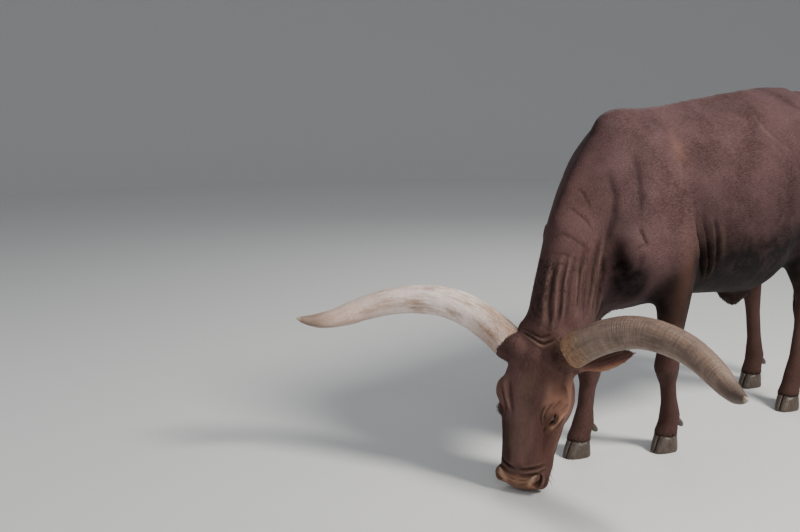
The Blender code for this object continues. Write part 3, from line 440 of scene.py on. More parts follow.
# The neck is turned, so its left side has strokes of its own
LEFT_NECK_STROKES = [
    # Fine slanting creases across the neck
    fold(4.5, -3.2, 1.3, (549, -71, 1061), (528, -35, 1045), (527, -7, 1007), (523, 13, 974)),
    fold(4.5, -3.2, 1.3, (585, -76, 1006), (567, -32, 979), (547, 4, 946), (530, 28, 906)),
    fold(4.5, -3, 1.3, (619, -68, 917), (598, -19, 891), (571, 11, 863), (547, 29, 833)),
    fold(4, -2.4, 1.3, (626, -91, 880), (614, -50, 901), (595, -14, 886)),
    fold(4.5, -2.8, 1.3, (644, -83, 837), (625, -25, 836), (578, 18, 807)),
    fold(4.5, -2.4, 1.3, (655, -70, 800), (632, -20, 795), (590, 18, 770)),
    # Long folds that run down the side of the neck into the dewlap
    fold(10, -12.4, 1.7, (505, 45, 850), (496, 44, 752), (490, 20, 660), (470, -10, 590)),
    fold(9, -9.3, 1.7, (500, 31, 913), (540, 35, 803), (547, 33, 717), (569, 32, 608)),
    fold(9, 7.8, 2, (490, 39, 894), (520, 43, 810), (522, 38, 720), (530, 28, 620)),
    fold(9, -7, 1.7, (556, 12, 880), (592, 16, 779), (607, 23, 695), (633, 24, 617)),
    fold(8, -7.8, 1.7, (658, -42, 835), (685, -38, 760), (692, -38, 682), (704, -24, 618), (710, -27, 563)),
    fold(8, -7.8, 1.7, (627, -11, 843), (660, -7, 750), (667, -7, 683), (679, -2, 631), (697, -9, 573)),
    fold(7.5, -7.8, 1.7, (600, 4, 850), (640, 8, 740), (647, 8, 682), (657, 12, 630), (663, -2, 578)),
    fold(8.5, -9.3, 1.7, (550, 27, 814), (580, 31, 730), (585, 31, 676), (578, 33, 621), (598, 32, 592)),
    fold(8.5, -9.3, 1.7, (484, 25, 821), (520, 29, 720), (523, 29, 667), (528, 28, 640), (530, 25, 607)),
    fold(9, 7, 2, (668, -59, 835), (695, -55, 760), (700, -55, 680), (715, -46, 616), (719, -56, 559)),
    fold(8, 6.5, 2, (639, -23, 848), (672, -19, 755), (680, -19, 683), (690, -10, 627), (702, -16, 568)),
    fold(7.5, 6.5, 2, (610, -2, 855), (650, 2, 745), (657, 2, 683), (667, 6, 631), (683, 3, 578)),
    fold(9, 7.4, 2, (580, 18, 824), (610, 22, 740), (617, 22, 680), (626, 25, 627), (640, 8, 580)),
    fold(9, 7, 2, (512, 29, 831), (548, 33, 730), (551, 33, 672), (551, 31, 635), (569, 32, 605)),
    fold(10, -9.3, 1.7, (451, 3, 653), (430, -25, 605), (405, -40, 560)),
    fold(10, 7.8, 2, (475, 18, 680), (455, -5, 610), (430, -30, 540)),
]

# Strokes of the head in the head frame, on its left, for both sides
HEAD_STROKES = [
    # Hollow of the temple, and the edge of the forehead above it
    fold(20, -5, 2, (110, 92, -40), (165, 100, -62)),
    fold(15, 3.5, 2, (120, 80, -8), (180, 80, -6), (232, 66, 2)),
    # Creases of the upper lid and brow, which start at the inner corner of the eye and fan outwards
    fold(4.2, -3.4, 1.4, (292, 66, -10), (262, 62, -2), (236, 66, 0), (204, 78, -2)),
    fold(4, 2.6, 2, (284, 69, -12), (256, 67, -5), (230, 74, -4), (200, 88, -6)),
    fold(4, -3.6, 1.4, (276, 71, -12), (250, 72, -8), (226, 81, -8), (196, 98, -16)),
    fold(4.5, -3, 1.5, (232, 88, -16), (206, 101, -22), (184, 110, -34)),
    fold(4.2, 2.6, 2, (240, 82, -14), (216, 92, -14), (190, 104, -24)),
    # Tear groove below the inner corner, the rolled fold of the lower lid, and the groove outside it
    fold(5.5, -4, 1.6, (290, 74, -22), (306, 70, -22), (328, 66, -30)),
    fold(6.5, 5, 2, (292, 84, -40), (270, 99, -52), (244, 108, -72), (226, 111, -94)),
    fold(5.5, -4.2, 1.5, (302, 85, -52), (282, 100, -68), (256, 108, -88)),
    fold(5, -3.4, 1.5, (232, 100, -44), (216, 108, -60), (206, 112, -80)),
    # Crest of the cheek, and the hollow above it
    fold(12, 3, 2, (292, 94, -76), (340, 88, -74), (390, 82, -70)),
    fold(17, -4.5, 2, (300, 74, -26), (360, 70, -34), (410, 68, -38)),
    # Ridge along the side of the nose
    fold(11, 1.8, 2, (250, 40, 6), (330, 36, 0), (410, 32, -4)),
    # Folds across the muzzle, behind the nostrils and over the nose
    fold(6, -9, 1.5, (444, 82, -50), (460, 66, -20), (475, 32, -8), (479, 0, -6)),
    fold(6, 5, 2, (434, 82, -48), (449, 66, -16), (463, 32, -4), (466, 0, -2)),
    fold(4.8, -5.6, 1.5, (424, 82, -48), (439, 66, -16), (452, 30, -3), (454, 0, -1)),
    fold(5.5, 2.6, 2, (414, 82, -48), (430, 66, -16), (441, 30, -3), (443, 0, -1)),
    fold(6, 3.6, 2, (454, 80, -50), (470, 66, -16), (488, 40, -8), (492, 0, -8)),
    fold(3.8, -3.8, 1.5, (480, 46, -10), (490, 30, -10), (496, 0, -10)),
    fold(3.6, 2.2, 2, (488, 42, -12), (498, 26, -12), (503, 0, -13)),
    fold(3.8, -3.4, 1.5, (498, 38, -18), (507, 20, -18), (511, 0, -20)),
    # Swollen rim outside the nostril, and the groove between it and the lip
    fold(8, 1.6, 2, (466, 78, -14), (484, 84, -28), (500, 76, -42)),
    fold(6.5, -4.2, 1.6, (470, 86, -56), (488, 82, -62), (506, 68, -62)),
    # Wrinkles of the cheek above the corner of the mouth
    fold(5, -3, 1.5, (400, 86, -80), (420, 86, -92), (438, 84, -108)),
    fold(5, -2.4, 1.5, (384, 88, -84), (404, 86, -100), (420, 82, -116)),
    fold(5, -2, 1.5, (366, 88, -88), (388, 86, -106), (402, 82, -124)),
    # Angle of the jaw
    fold(14, 4, 2, (190, 80, -200), (250, 66, -200), (310, 52, -174)),
]

# Folds where the neck's skin meets the poll: they sag to a low point left of the head's middle
POLL_STROKES = [
    fold(5.5, -7.5, 1.6, (-22, -88, -34), (-14, -39, -18), (-2, -4, -5), (9, 28, 0), (-6, 52, -6),
         (-22, 78, -16)),
    fold(5, -5.5, 1.6, (-30, -70, -30), (-22, -13, -11), (-12, 15, -5), (-20, 38, -7), (-34, 62, -12)),
    fold(6, 4, 2, (-16, -75, -25), (-6, -32, -10), (10, 4, -1), (18, 30, 2), (4, 57, 1), (-11, 80, -5)),
    fold(4.5, 3.5, 2, (-28, -80, -30), (-18, -26, -14), (-7, 6, -5), (-3, 30, -3), (-16, 52, -8)),
]

# Deeper folds over the right eye
RIGHT_BROW_STROKES = [
    fold(6, -8.4, 1.5, (160, 98, -12), (215, 74, 1), (266, 52, 4)),
    fold(7, 6, 2, (150, 84, -4), (212, 62, 4), (262, 42, 6)),
    fold(6, -7.2, 1.5, (149, 62, 4), (211, 46, 7), (272, 32, 7)),
    fold(6, 6, 2, (172, 110, -24), (222, 88, -6), (270, 64, -2)),
    fold(5, -7.2, 1.5, (182, 116, -36), (228, 97, -16), (276, 74, -8)),
]

# All the strokes as they lie on the skin, filled in when it is built
STROKES = []


# Skin


def seam_height(points):
    """How far each point lies on the head's side of the seam plane."""
    return (points - SEAM_POINT) @ SEAM_ALONG


def in_ear(points):
    """Points close to the middle line of either ear."""
    local = carried(points, HEAD_BACK)
    half = np.stack([local[:, 0], np.abs(local[:, 1]), local[:, 2]], axis=1)
    distance, _ = along_path(half, (EAR_SEAT + EAR_ALONG * 0.012, EAR_SEAT + EAR_ALONG * 0.215))
    return distance < EAR_REACH


def on_head_side(points, margin=0.0):
    """Points past the seam plane and the ears, leaving out the legs, which pass it further down."""
    across = (points - SEAM_POINT) @ SEAM_ACROSS
    return ((seam_height(points) > margin) & (across > SEAM_FOOT)) | in_ear(points)


def beyond_seam(faces, level):
    """For each face how far it lies past a level over the seam, if it is no leg, and if it is in an ear."""
    centres = np.array([face.calc_center_median() for face in faces])
    middle = centres - (SEAM_POINT + SEAM_ALONG * level)
    return list(zip(faces, middle @ SEAM_ALONG, middle @ SEAM_ACROSS > SEAM_FOOT, in_ear(centres)))


def cut_at_seam(target, keep_head, level):
    """Cuts a mesh at a level over the seam plane and keeps one side. The cut's edges stay open."""
    with edited(target.data) as work:
        point = SEAM_POINT + SEAM_ALONG * level
        sides = beyond_seam(work.faces, level)
        band = [face for face, past, high, ear in sides if abs(past) < SEAM_BAND and high and not ear]
        near = {v for f in band for v in f.verts} | {e for f in band for e in f.edges} | set(band)
        bmesh.ops.bisect_plane(work, geom=list(near), dist=1e-6, plane_co=point, plane_no=SEAM_ALONG)
        sides = beyond_seam(work.faces, level)
        drop = [face for face, past, high, ear in sides if ((past > 0 and high) or ear) != keep_head]
        bmesh.ops.delete(work, geom=drop, context="FACES")


def bridged(body, head):
    """Joins the two open skins along their cut edges."""
    join_into(body, head)
    with edited(body.data) as work:
        bmesh.ops.bridge_loops(work, edges=[e for e in work.edges if e.is_boundary])
        bmesh.ops.recalc_face_normals(work, faces=work.faces)
        bmesh.ops.triangulate(work, faces=[f for f in work.faces if len(f.verts) > 4])
    body.name = body.data.name = "skin"
    return body


def body_skin():
    """The coarser skin of the trunk, neck, legs and tail."""
    nodes = [n for n in FLESH if not n.startswith("ear")] + ["eye_left", "eye_right"]
    made = remeshed(joined("body_skin", nodes, {}), BODY_VOXEL)
    points = places(made.data)
    weight = 0.16 + 0.84 * ramp(points[:, 2], 0.50, 0.72)
    weight *= 1 - 0.75 * ramp(-points[:, 0], 1.02, 1.10)
    place(made.data, relaxed(points, edges(made.data), 30, weight))
    return made


def head_skin():
    """The fine skin of the head and the ears, with some of the neck."""
    swell = {"ear_left": 0.0010, "ear_right": 0.0010}
    nodes = ["head", "neck", "ear_left", "ear_right", "eye_left", "eye_right"]
    rough = joined("head_skin", nodes, swell)
    for side, _ in SIDES:
        for middle, radius in PLUGS:
            join_into(rough, ball_form("plug", Matrix.Translation(on_face(middle, side)), radius, 20))
    for middle, radius in POLL_FILL:
        join_into(rough, ball_form("fill", HEAD @ Matrix.Translation(middle), radius, 28))
    made = remeshed(rough, HEAD_VOXEL)
    points = places(made.data)
    weight = 0.08 + 0.92 * (1 - ramp(seam_height(points), 0.0, 0.09))
    local = carried(points, HEAD_BACK)
    cut = (local - NECK_CUT_POINT) @ NECK_CUT_ALONG
    poll = hill((cut, 0, 0.045)) * (1 - ramp(np.abs(local[:, 1]), 0.080, 0.125))
    weight = np.maximum(weight, poll)
    place(made.data, relaxed(points, edges(made.data), 120, weight))
    return made


def refine(target, chosen):
    """Splits the faces whose corners are all chosen into four."""
    with edited(target.data) as work:
        picked = [e for e in work.edges if chosen[e.verts[0].index] and chosen[e.verts[1].index]]
        bmesh.ops.subdivide_edges(work, edges=picked, cuts=1, use_grid_fill=True)
        bmesh.ops.triangulate(work, faces=[f for f in work.faces if len(f.verts) > 4])


def detail_areas(points):
    """Which points lie round the eyes, the muzzle or the mouth, where the skin is finest."""
    muzzle = (even_head(points)[:, 0] > 0.425) & on_head_side(points)
    return (eye_distance(points) < 0.052) | muzzle


def ball_form(name, matrix, radius, count=32):
    """A round ball of quads and end caps, for a cut."""
    rows = count // 2
    rings = []
    for k in range(1, rows):
        angle = math.pi * k / rows
        rings.append([
            matrix @ Vector((
                radius * math.sin(angle) * math.cos(2 * math.pi * i / count),
                radius * math.sin(angle) * math.sin(2 * math.pi * i / count),
                -radius * math.cos(angle),
            ))
            for i in range(count)
        ])
    return loft_object(name, rings)


def band_faces(rows, count):
    """The faces between rings of points that follow one another, and the cap that closes the first ring."""
    faces = []
    for a in range(0, (rows - 1) * count, count):
        for i in range(count):
            j = (i + 1) % count
            faces.append((a + i, a + j, a + count + j, a + count + i))
    return faces + [tuple(reversed(range(count)))]


def loft_object(name, rings):
    """A closed skin over rings that all have the same number of points."""
    count = len(rings[0])
    faces = band_faces(len(rings), count) + [tuple((len(rings) - 1) * count + i for i in range(count))]
    made = mesh_object(name, [p for ring in rings for p in ring], faces)
    fix_normals(made)
    return made


# Lids: half heights of the opening over its length, from the outer to the inner corner
LID_OPENING = ((-1.0, 0.0, 0.0), (-0.7, 0.0044, 0.0022), (-0.2, 0.0076, 0.0036), (0.3, 0.0082, 0.0042),
               (0.7, 0.0060, 0.0036), (1.05, 0.0030, 0.0022), (1.42, 0.0, 0.0))
LID_HALF_LENGTH = 0.0210
LID_BALL = 0.0282


def lid_strokes():
    """Ridges along the edges of both lids, the fold over the upper one and the fold under the lower one."""
    lines = (
        # radius and height, then places across and up the slit
        (
            0.0026, 0.0019,
            ((-0.023, -0.001), (-0.012, -0.0062), (0.003, -0.0078), (0.018, -0.006), (0.028, -0.0025)),
        ),
        (
            0.0032, 0.0020,
            ((-0.023, 0.002), (-0.011, 0.0104), (0.004, 0.0122), (0.018, 0.0098), (0.028, 0.0035)),
        ),
        (
            0.0026, -0.0030,
            ((-0.025, 0.007), (-0.012, 0.0158), (0.004, 0.0178), (0.019, 0.015), (0.030, 0.008)),
        ),
        (0.0026, -0.0022, ((-0.020, -0.008), (-0.008, -0.0126), (0.006, -0.0138), (0.020, -0.0112))),
    )
    made = []
    for side, _ in SIDES:
        for radius, height, path in lines:
            on_ball = [Vector((x, y, math.sqrt(max(LID_BALL ** 2 - x * x - y * y, 1e-6)))) for x, y in path]
            made.append((tuple(tuple(eye_frame(side) @ p) for p in on_ball), radius, height, 2.0))
    return made


def slit_form(side):
    """The opening between an eye's lids, from inside the ball outwards."""
    rings = []
    for height, share in ((0.006, 0.86), (0.021, 1.0), (0.036, 1.18)):
        upper = [(x, top) for x, top, _ in LID_OPENING]
        lower = [(x, -bottom) for x, _, bottom in reversed(LID_OPENING[1:-1])]
        outline = smooth_outline([(x * LID_HALF_LENGTH, y) for x, y in upper + lower], 40)
        rings.append([eye_frame(side) @ Vector((x * share, y * share, height)) for x, y in outline])
    return loft_object("cutter", rings)


def smooth_outline(corners, count):
    """A closed outline through the corners as a periodic Catmull-Rom curve."""
    total = len(corners)
    made = []
    for k in range(count):
        place_on = k * total / count
        i, t = int(place_on), place_on - int(place_on)
        a, b, c, d = (np.array(corners[(i + n) % total]) for n in (-1, 0, 1, 2))
        square, cube = 2 * a - 5 * b + 4 * c - d, 3 * b - a - 3 * c + d
        made.append(0.5 * (2 * b + (c - a) * t + square * t * t + cube * t ** 3))
    return made


NOSTRIL_PATH = (
    (0.460, 0.074, -0.026), (0.472, 0.078, -0.024), (0.486, 0.074, -0.020), (0.498, 0.062, -0.024),
    (0.502, 0.052, -0.030),
)
NOSTRIL_RADII = (0.0020, 0.0052, 0.0088, 0.0110, 0.0055)
NOSTRIL_WAY = Vector((0.25, 0.42, 0.87)).normalized()


def nostril_form(side):
    """A comma-shaped hole that narrows as it goes into the muzzle."""
    rings = []
    centres = [Vector(p) for p in NOSTRIL_PATH]
    count = len(centres)
    outline = []
    for sign in (1, -1):
        order = range(count) if sign > 0 else range(count - 1, -1, -1)
        for k in order:
            along = (centres[min(k + 1, count - 1)] - centres[max(k - 1, 0)]).normalized()
            across = along.cross(NOSTRIL_WAY).normalized()
            outline.append(centres[k] + across * NOSTRIL_RADII[k] * sign)
    middle = sum(centres, Vector()) / count
    for depth, share in ((0.030, 1.25), (0.004, 1.02), (-0.010, 0.84), (-0.024, 0.55), (-0.034, 0.25)):
        ring = [middle + (p - middle) * share + NOSTRIL_WAY * depth for p in outline]
        corners = smooth_outline([tuple(p) for p in ring], 36)
        rings.append([on_face(p, side) for p in corners])
    return loft_object("cutter", rings)


# Where the lips meet on the left, from the corner of the mouth to its middle
LIP_LINE = (
    (0.412, 0.085, -0.104), (0.440, 0.084, -0.101), (0.466, 0.081, -0.0975), (0.492, 0.075, -0.0945),
    (0.513, 0.062, -0.092), (0.526, 0.034, -0.089), (0.530, 0.0, -0.088),
)


def mouth_form():
    """A thin flat tube along the line where the lips meet, from one corner to the other."""
    path = list(LIP_LINE) + [(u, -v, w) for u, v, w in LIP_LINE[-2::-1]]
    inward = Vector((0.40, 0.0, -0.0900))
    rings = []
    for k, corner in enumerate(path):
        here = Vector(corner)
        in_way = (inward - here).normalized()
        size = 0.0016 if 0 < k < len(path) - 1 else 0.0006
        low, high = here + in_way * 0.010, here - in_way * 0.008
        thin, wide = Vector((0, 0, size * 0.7)), Vector((0, 0, size * 2.2))
        rings.append([on_face(p) for p in (low, here + thin, high + wide, high - wide, here - thin)])
    return loft_object("cutter", rings)


def manifold_cut(target, forms):
    """Cuts closed forms out of the target one after another."""
    for form in forms:
        step = target.modifiers.new("cut", "BOOLEAN")
        step.operation = "DIFFERENCE"
        step.solver = "MANIFOLD"
        step.object = form
        apply_modifiers(target)
        bpy.data.objects.remove(form)


# Middles and radii of balls that level the skin between the poll and the neck, which is turned
POLL_FILL = (
    ((-0.045, -0.055, -0.078), 0.055), ((-0.020, -0.050, -0.062), 0.045), ((-0.080, -0.050, -0.088), 0.055),
    ((-0.025, 0.052, -0.060), 0.050), ((-0.025, 0.000, -0.055), 0.052),
    ((-0.035, 0.090, -0.090), 0.036), ((-0.040, -0.092, -0.100), 0.036),
)

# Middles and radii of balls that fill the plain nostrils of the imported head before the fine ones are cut
PLUGS = (((0.484, 0.060, -0.027), 0.0225), ((0.497, 0.053, -0.036), 0.0215), ((0.474, 0.067, -0.034), 0.0190))


def build_skin():
    body, head = body_skin(), head_skin()
    cut_at_seam(body, False, -SEAM_GAP)
    cut_at_seam(head, True, SEAM_GAP)
    skin = bridged(body, head)
    points = places(skin.data)
    band = np.exp(-((seam_height(points) / 0.050) ** 4)) * on_head_side(points, -0.2) * ~in_ear(points)
    place(skin.data, relaxed(points, edges(skin.data), 160, band))
    refine(skin, detail_areas(places(skin.data)))
    STROKES.extend(laid_on(all_strokes(), skin.data))
    sculpt(skin.data, STROKES)
    cuts = [mouth_form()]
    for side, _ in SIDES:
        cuts.append(ball_form("cutter", eye_frame(side), EYE_RADIUS + EYE_ROOM))
        cuts += [slit_form(side), nostril_form(side)]
    manifold_cut(skin, cuts)
    soften_cuts(skin)
    smooth_shaded(skin)
    return skin


def soften_cuts(skin):
    """Rounds the edges of the lids, nostrils and lips."""
    points = places(skin.data)
    local = even_head(points)
    half = np.stack([local[:, 0], np.abs(local[:, 1]), local[:, 2]], axis=1)
    nostril, _ = along_path(half, NOSTRIL_PATH)
    weight = 0.8 * (nostril < 0.020) * on_head_side(points)
    weight = np.maximum(weight, 0.35 * (eye_distance(points) < 0.034))
    weight = np.maximum(weight, 0.5 * (local[:, 0] > 0.405) * (np.abs(local[:, 2] + 0.092) < 0.012))
    place(skin.data, relaxed(points, edges(skin.data), 3, weight))


# Coat: where each colour lies, painted shade and painted light among them


# A stroke up to this radius and of at least this height marks the coat with painted shade or painted
# highlight in full, a broader or lower one less
NARROW = 0.0100
FULL_HEIGHT = 0.0050


def stroke_marks(points, strokes, way):
    """How deep in a groove (way -1) or high on a ridge (way 1) each point lies, from 0 to 1."""
    found = np.zeros(len(points))
    for path, radius, height, _ in strokes:
        if height * way <= 0:
            continue
        near = close_to(points, path, radius * 2.5)
        if len(near):
            distance, travel = along_path(points[near], path)
            fade = ramp(travel, -0.02, 0.35) * (1 - ramp(travel, 0.70, 1.02))
            share = min(1.0, abs(height) / FULL_HEIGHT) * min(1.0, (NARROW / radius) ** 2)
            found[near] = np.maximum(found[near], share * fade * hill((distance, 0, radius * 0.85)))
    return found


def all_strokes():
    return (
        mirrored(BODY_STROKES) + LEFT_NECK_STROKES + on_head(HEAD_STROKES)
        + on_head(RIGHT_BROW_STROKES, (-1,)) + on_head(POLL_STROKES, (1,)) + lid_strokes()
    )


def near_path(places_of, path, width):
    """1 on a path and falling to 0 over about twice the width."""
    distance, _ = along_path(places_of, path)
    return hill((distance, 0, width))


# Places of painted light and shade: the lit lower lid, the shaded inner corner and tear groove, the pale and
# lit nostril rims, the lit bulge of the shoulder and the shaded hollow behind the neck.
LIT_LOWER_LID = ((0.292, 0.086, -0.042), (0.270, 0.100, -0.054), (0.246, 0.108, -0.072), (0.228, 0.111, -0.092))
EYE_CORNER_SHADE = ((0.282, 0.070, -0.014), (0.258, 0.070, -0.008))
TEAR_GROOVE_SHADE = ((0.280, 0.080, -0.024), (0.300, 0.072, -0.020))
NOSTRIL_RIM = ((0.466, 0.060, -0.006), (0.480, 0.056, -0.006), (0.494, 0.048, -0.014), (0.506, 0.040, -0.026))
LIT_SHOULDER_BULGE = ((0.401, 0.118, 0.900), (0.392, 0.128, 0.850))
NECK_HOLLOW_SHADE = ((0.470, 0.062, 0.920), (0.458, 0.062, 0.830), (0.432, 0.080, 0.755), (0.380, 0.100, 0.715))


def head_masks(points):
    """The head's part of the masks, on the left half's places, with painted light stronger on the lit left
    side and painted shade stronger on the right.
    """
    local = even_head(points)
    u, v, w = local[:, 0], np.abs(local[:, 1]), local[:, 2]
    half = np.stack([u, v, w], axis=1)
    head = on_head_side(points, 0.02).astype(float)
    left = ramp(local[:, 1], -0.015, 0.015)
    muzzle_edge = 0.472 + 0.10 * np.maximum(0, -0.03 - w)
    beside = 1 - (0.55 + 0.30 * left) * ramp(v, 0.060, 0.076)
    mealy = ramp(u, muzzle_edge - 0.010, muzzle_edge + 0.024) * beside * (1 - 0.8 * ramp(-w, 0.060, 0.092))
    # Paler rims round the nostrils, with a painted highlight that makes them stronger on the lit left side.
    pale = (0.35 + 0.45 * left) * near_path(half, NOSTRIL_RIM, 0.0075)
    # Painted highlight along the lit lower lid, strongest on the left.
    pale = np.maximum(pale, (0.18 + 0.62 * left) * near_path(half, LIT_LOWER_LID, 0.0062))
    # Painted light down the front of the face, which faces the light.
    strip = 0.045 * (1 - ramp(v, 0.014, 0.040)) * ramp(u, 0.06, 0.14) * (1 - ramp(u, 0.43, 0.45))
    pale = np.maximum(pale, strip)
    brow = hill((u, 0.205, 0.062)) * ramp(v, 0.052, 0.108) * ramp(w, -0.20, -0.07)
    # The lit lower lid: it takes a painted warm highlight and loses the painted shade of the socket.
    lid = near_path(half, LIT_LOWER_LID, 0.0085)
    ear = in_ear(points) & (v > 0.135)
    below = u - (EAR_SEAT[0] + EAR_ALONG[0] * (v - EAR_SEAT[1]) / EAR_ALONG[1])
    # Painted light on the left brow, and a painted highlight on the lit lower edge of the ear.
    pale = np.maximum(pale, 0.06 * left * brow + 0.22 * ear * ramp(below, 0.020, 0.036))
    # The head's own warmth, with painted warm light stronger on the lit left side: on the brows, on the lit
    # lower lid, on the lit lower edge of the ear and on the left cheek.
    warm = 0.09 + 0.04 * left + (0.20 + 0.46 * left) * brow + 0.70 * lid
    warm = warm + 0.80 * ear * ramp(below, 0.008, 0.030)
    warm = warm + 0.10 * hill((u, 0.38, 0.10)) * ramp(v, 0.030, 0.065) * left
    # Painted shade in the hollow round the eye.
    socket = hill((eye_distance(points), 0.0265, 0.0075)) * (1 - lid)
    # Dark hair round the base of the horn, with painted shadow under the horn's rim that is stronger on the
    # left.
    sleeve = hill((v, 0.098, 0.040), (u, 0.036, 0.056)) * ramp(w, -0.16, -0.06)
    # Painted shade under the jaw.
    jaw = ramp(-w, 0.046, 0.105) * ramp(u, 0.25, 0.33)
    inside = 0.014 + 0.016 * left
    shade = ramp(v, inside, inside + 0.026) * ramp(u, 0.25, 0.32) * (1 - ramp(u, 0.450, 0.475))
    # Painted stripes of shade, standing in for the folds of the ear.
    ear_fold_shade = 0.5 + 0.5 * np.sin(below * 2 * np.pi / 0.015 + 14 * v)
    # Painted shade: under the horn's rim, round the eye, in the tear groove, under the jaw, on the face's
    # shaded right side, on the ear under the horn and in its folds, and at the eye's inner corner.
    dark = (0.50 + 0.42 * left) * sleeve + 0.75 * socket
    dark = dark + 0.7 * near_path(half, TEAR_GROOVE_SHADE, 0.0080) + 0.75 * jaw
    dark = dark + (0.86 - 0.72 * left) * shade + ear * (0.55 * ramp(below, 0.012, -0.010) + 0.35 * ear_fold_shade)
    dark = dark + 0.60 * near_path(half, EYE_CORNER_SHADE, 0.0085)
    pad = 0.25 * ramp(u, 0.494, 0.514) * (1 - ramp(v, 0.032, 0.052)) * ramp(w, -0.090, -0.055)
    inner = eye_distance(points) < EYE_RADIUS + 0.0021
    return {
        "mealy": head * mealy, "warm": head * warm, "dark": head * dark, "pale": head * pale,
        "bare": np.clip(head * pad + inner, 0, 1),
    }


def body_masks(points):
    """How warm and dark the trunk, neck and legs are: painted shade under the body, in its hollows and on the
    crest's far side, painted warm light on lit edges, darker legs and a warmer neck.
    """
    head = on_head_side(points, 0.02).astype(float)
    x, y, z = points[:, 0], points[:, 1] - MIDDLE, points[:, 2]
    # Painted warm light on the lit top of the left shoulder blade and on the lit edges behind the elbows.
    blade = hill((x, 0.110, 0.055), (z, 1.17, 0.055)) * (y > 0.05)
    elbow = hill((x, 0.150, 0.055)) * hill((z, 0.72, 0.16)) * ramp(np.abs(y), 0.16, 0.20)
    # The legs: darker downwards, with a little painted warm light.
    legs = 1 - ramp(z, 0.42, 0.66)
    barrel = 1 - ramp(x, 0.06, 0.18)
    # Painted shade on the underside of the belly.
    belly_shade = (1 - ramp(z, 0.66, 0.88)) * (1 - ramp(x, 0.20, 0.30)) * (1 - 0.8 * legs)
    # Painted shade on the lower flank, behind the shoulder.
    flank = (1 - ramp(z, 0.80, 1.28)) * barrel * (1 - legs)
    # Painted shade on the brisket between the forelegs.
    brisket_shade = hill((x, 0.37, 0.11), (z, 0.66, 0.09)) * (1 - legs)
    # Painted shade under the trunk, between the legs.
    under = hill((y, 0, 0.12)) * (1 - ramp(z, 0.70, 0.80)) * ramp(-x, 0.0, 0.1) * (1 - ramp(-x, 0.75, 0.85))
    # Painted shade on the crest's far side.
    crest = hill((y, -0.020, 0.045)) * ramp(x, 0.30, 0.40) * (z > 0.60)
    # Painted shade in the hollow between the neck and the shoulder.
    hollow = near_path(points, NECK_HOLLOW_SHADE, 0.056) * ramp(x, 0.28, 0.34) * (1 - 0.55 * ramp(z, 0.78, 0.88))
    # Painted shade on the belly, lower flank, neck hollow, crest's far side, brisket and under the trunk; the
    # legs are darker downwards.
    dark = 1.1 * belly_shade + 0.52 * flank + 1.0 * hollow + 0.28 * crest + 0.34 * legs + 0.80 * brisket_shade + under
    # Painted warm light on the lit shoulder blade, elbows and legs, and a warmer front of the neck.
    warm = 0.12 * elbow + 0.12 * blade + 0.08 * legs + 0.05 * ramp(x, 0.44, 0.56)
    # Less painted shade on the lit bulge of the shoulder, as a painted highlight.
    bulge = near_path(points, LIT_SHOULDER_BULGE, 0.030)
    return {"dark": (1 - head) * dark * (1 - 0.6 * bulge), "warm": (1 - head) * warm}


def region_masks(points):
    """How mealy, warm, dark, pale and bare the coat is at each point, from 0 to 1, by place on the animal,
    painted shade and painted light included.
    """
    made, body = head_masks(points), body_masks(points)
    # Painted shade in the strokes' grooves and painted highlight on their ridges.
    crease_shade, ridge = stroke_marks(points, STROKES, -1), stroke_marks(points, STROKES, 1)
    head = on_head_side(points, 0.02).astype(float)
    made["dark"] = np.clip(made["dark"] + body["dark"] + 0.92 * crease_shade, 0, 1)
    # Painted highlight on the ridges of the strokes, taken out of their grooves.
    made["pale"] = np.clip(made["pale"] + (0.08 + 0.12 * head) * ridge, 0, 1) * (1 - crease_shade)
    made["warm"] = np.clip(made["warm"] + body["warm"], 0, 1) * (1 - 0.8 * crease_shade)
    made["mealy"] = made["mealy"] * (1 - 0.7 * crease_shade)
    return made


def uprightness(points):
    """How nearly the hair lies straight down, as on legs and head, rather than back along the body."""
    low = 1 - ramp(points[:, 2], 0.55, 0.75)
    front = ramp(points[:, 0], 0.38, 0.52)
    back = ramp(-points[:, 0], 0.95, 1.05)
    return np.clip(low + front + back, 0, 1)


def paint(mesh, masks):
    for name, values in masks.items():
        held = mesh.attributes.new(name, "FLOAT", "POINT")
        held.data.foreach_set("value", np.asarray(values, np.float32))


def paint_vectors(mesh, name, vectors):
    held = mesh.attributes.new(name, "FLOAT_VECTOR", "POINT")
    held.data.foreach_set("vector", np.array(vectors, np.float32).ravel())


# Horns

HORN_CONTROL = (
    (0.029, 0.115, -0.029), (-0.087, 0.269, -0.012), (-0.096, 0.472, 0.029),
    (-0.032, 0.654, 0.101), (0.051, 0.765, 0.187), (0.032, 0.822, 0.272),
)
HORN_RADII = (
    (0.00, 0.0590), (0.15, 0.0563), (0.30, 0.0523), (0.45, 0.0485), (0.60, 0.0448),
    (0.75, 0.0394), (0.90, 0.0267), (0.96, 0.0165), (1.00, 0.0070),
)
HORN_START = 0.004
HORN_RINGS = 230
HORN_COLUMNS = 64

# Distances between growth rings, and the radius of the straight rod on which the horn's material lies
FINE_RING = 0.0105
COARSE_RING = 0.026
STRAIGHT_RADIUS = 0.05


def spline(control, t):
    """A point of the clamped cubic B-spline through the ends of its control points."""
    degree = 3
    count = len(control)
    inner = count - degree
    knots = [0.0] * degree + [i / inner for i in range(inner + 1)] + [1.0] * degree
    t = min(max(t, 0.0), 1.0 - 1e-9)
    span = max(i for i in range(degree, count) if knots[i] <= t)
    points = [Vector(control[i]) for i in range(span - degree, span + 1)]
    for level in range(1, degree + 1):
        for j in range(degree, level - 1, -1):
            i = span - degree + j
            share = (t - knots[i]) / (knots[i + degree - level + 1] - knots[i])
            points[j] = points[j - 1] * (1 - share) + points[j] * share
    return points[degree]


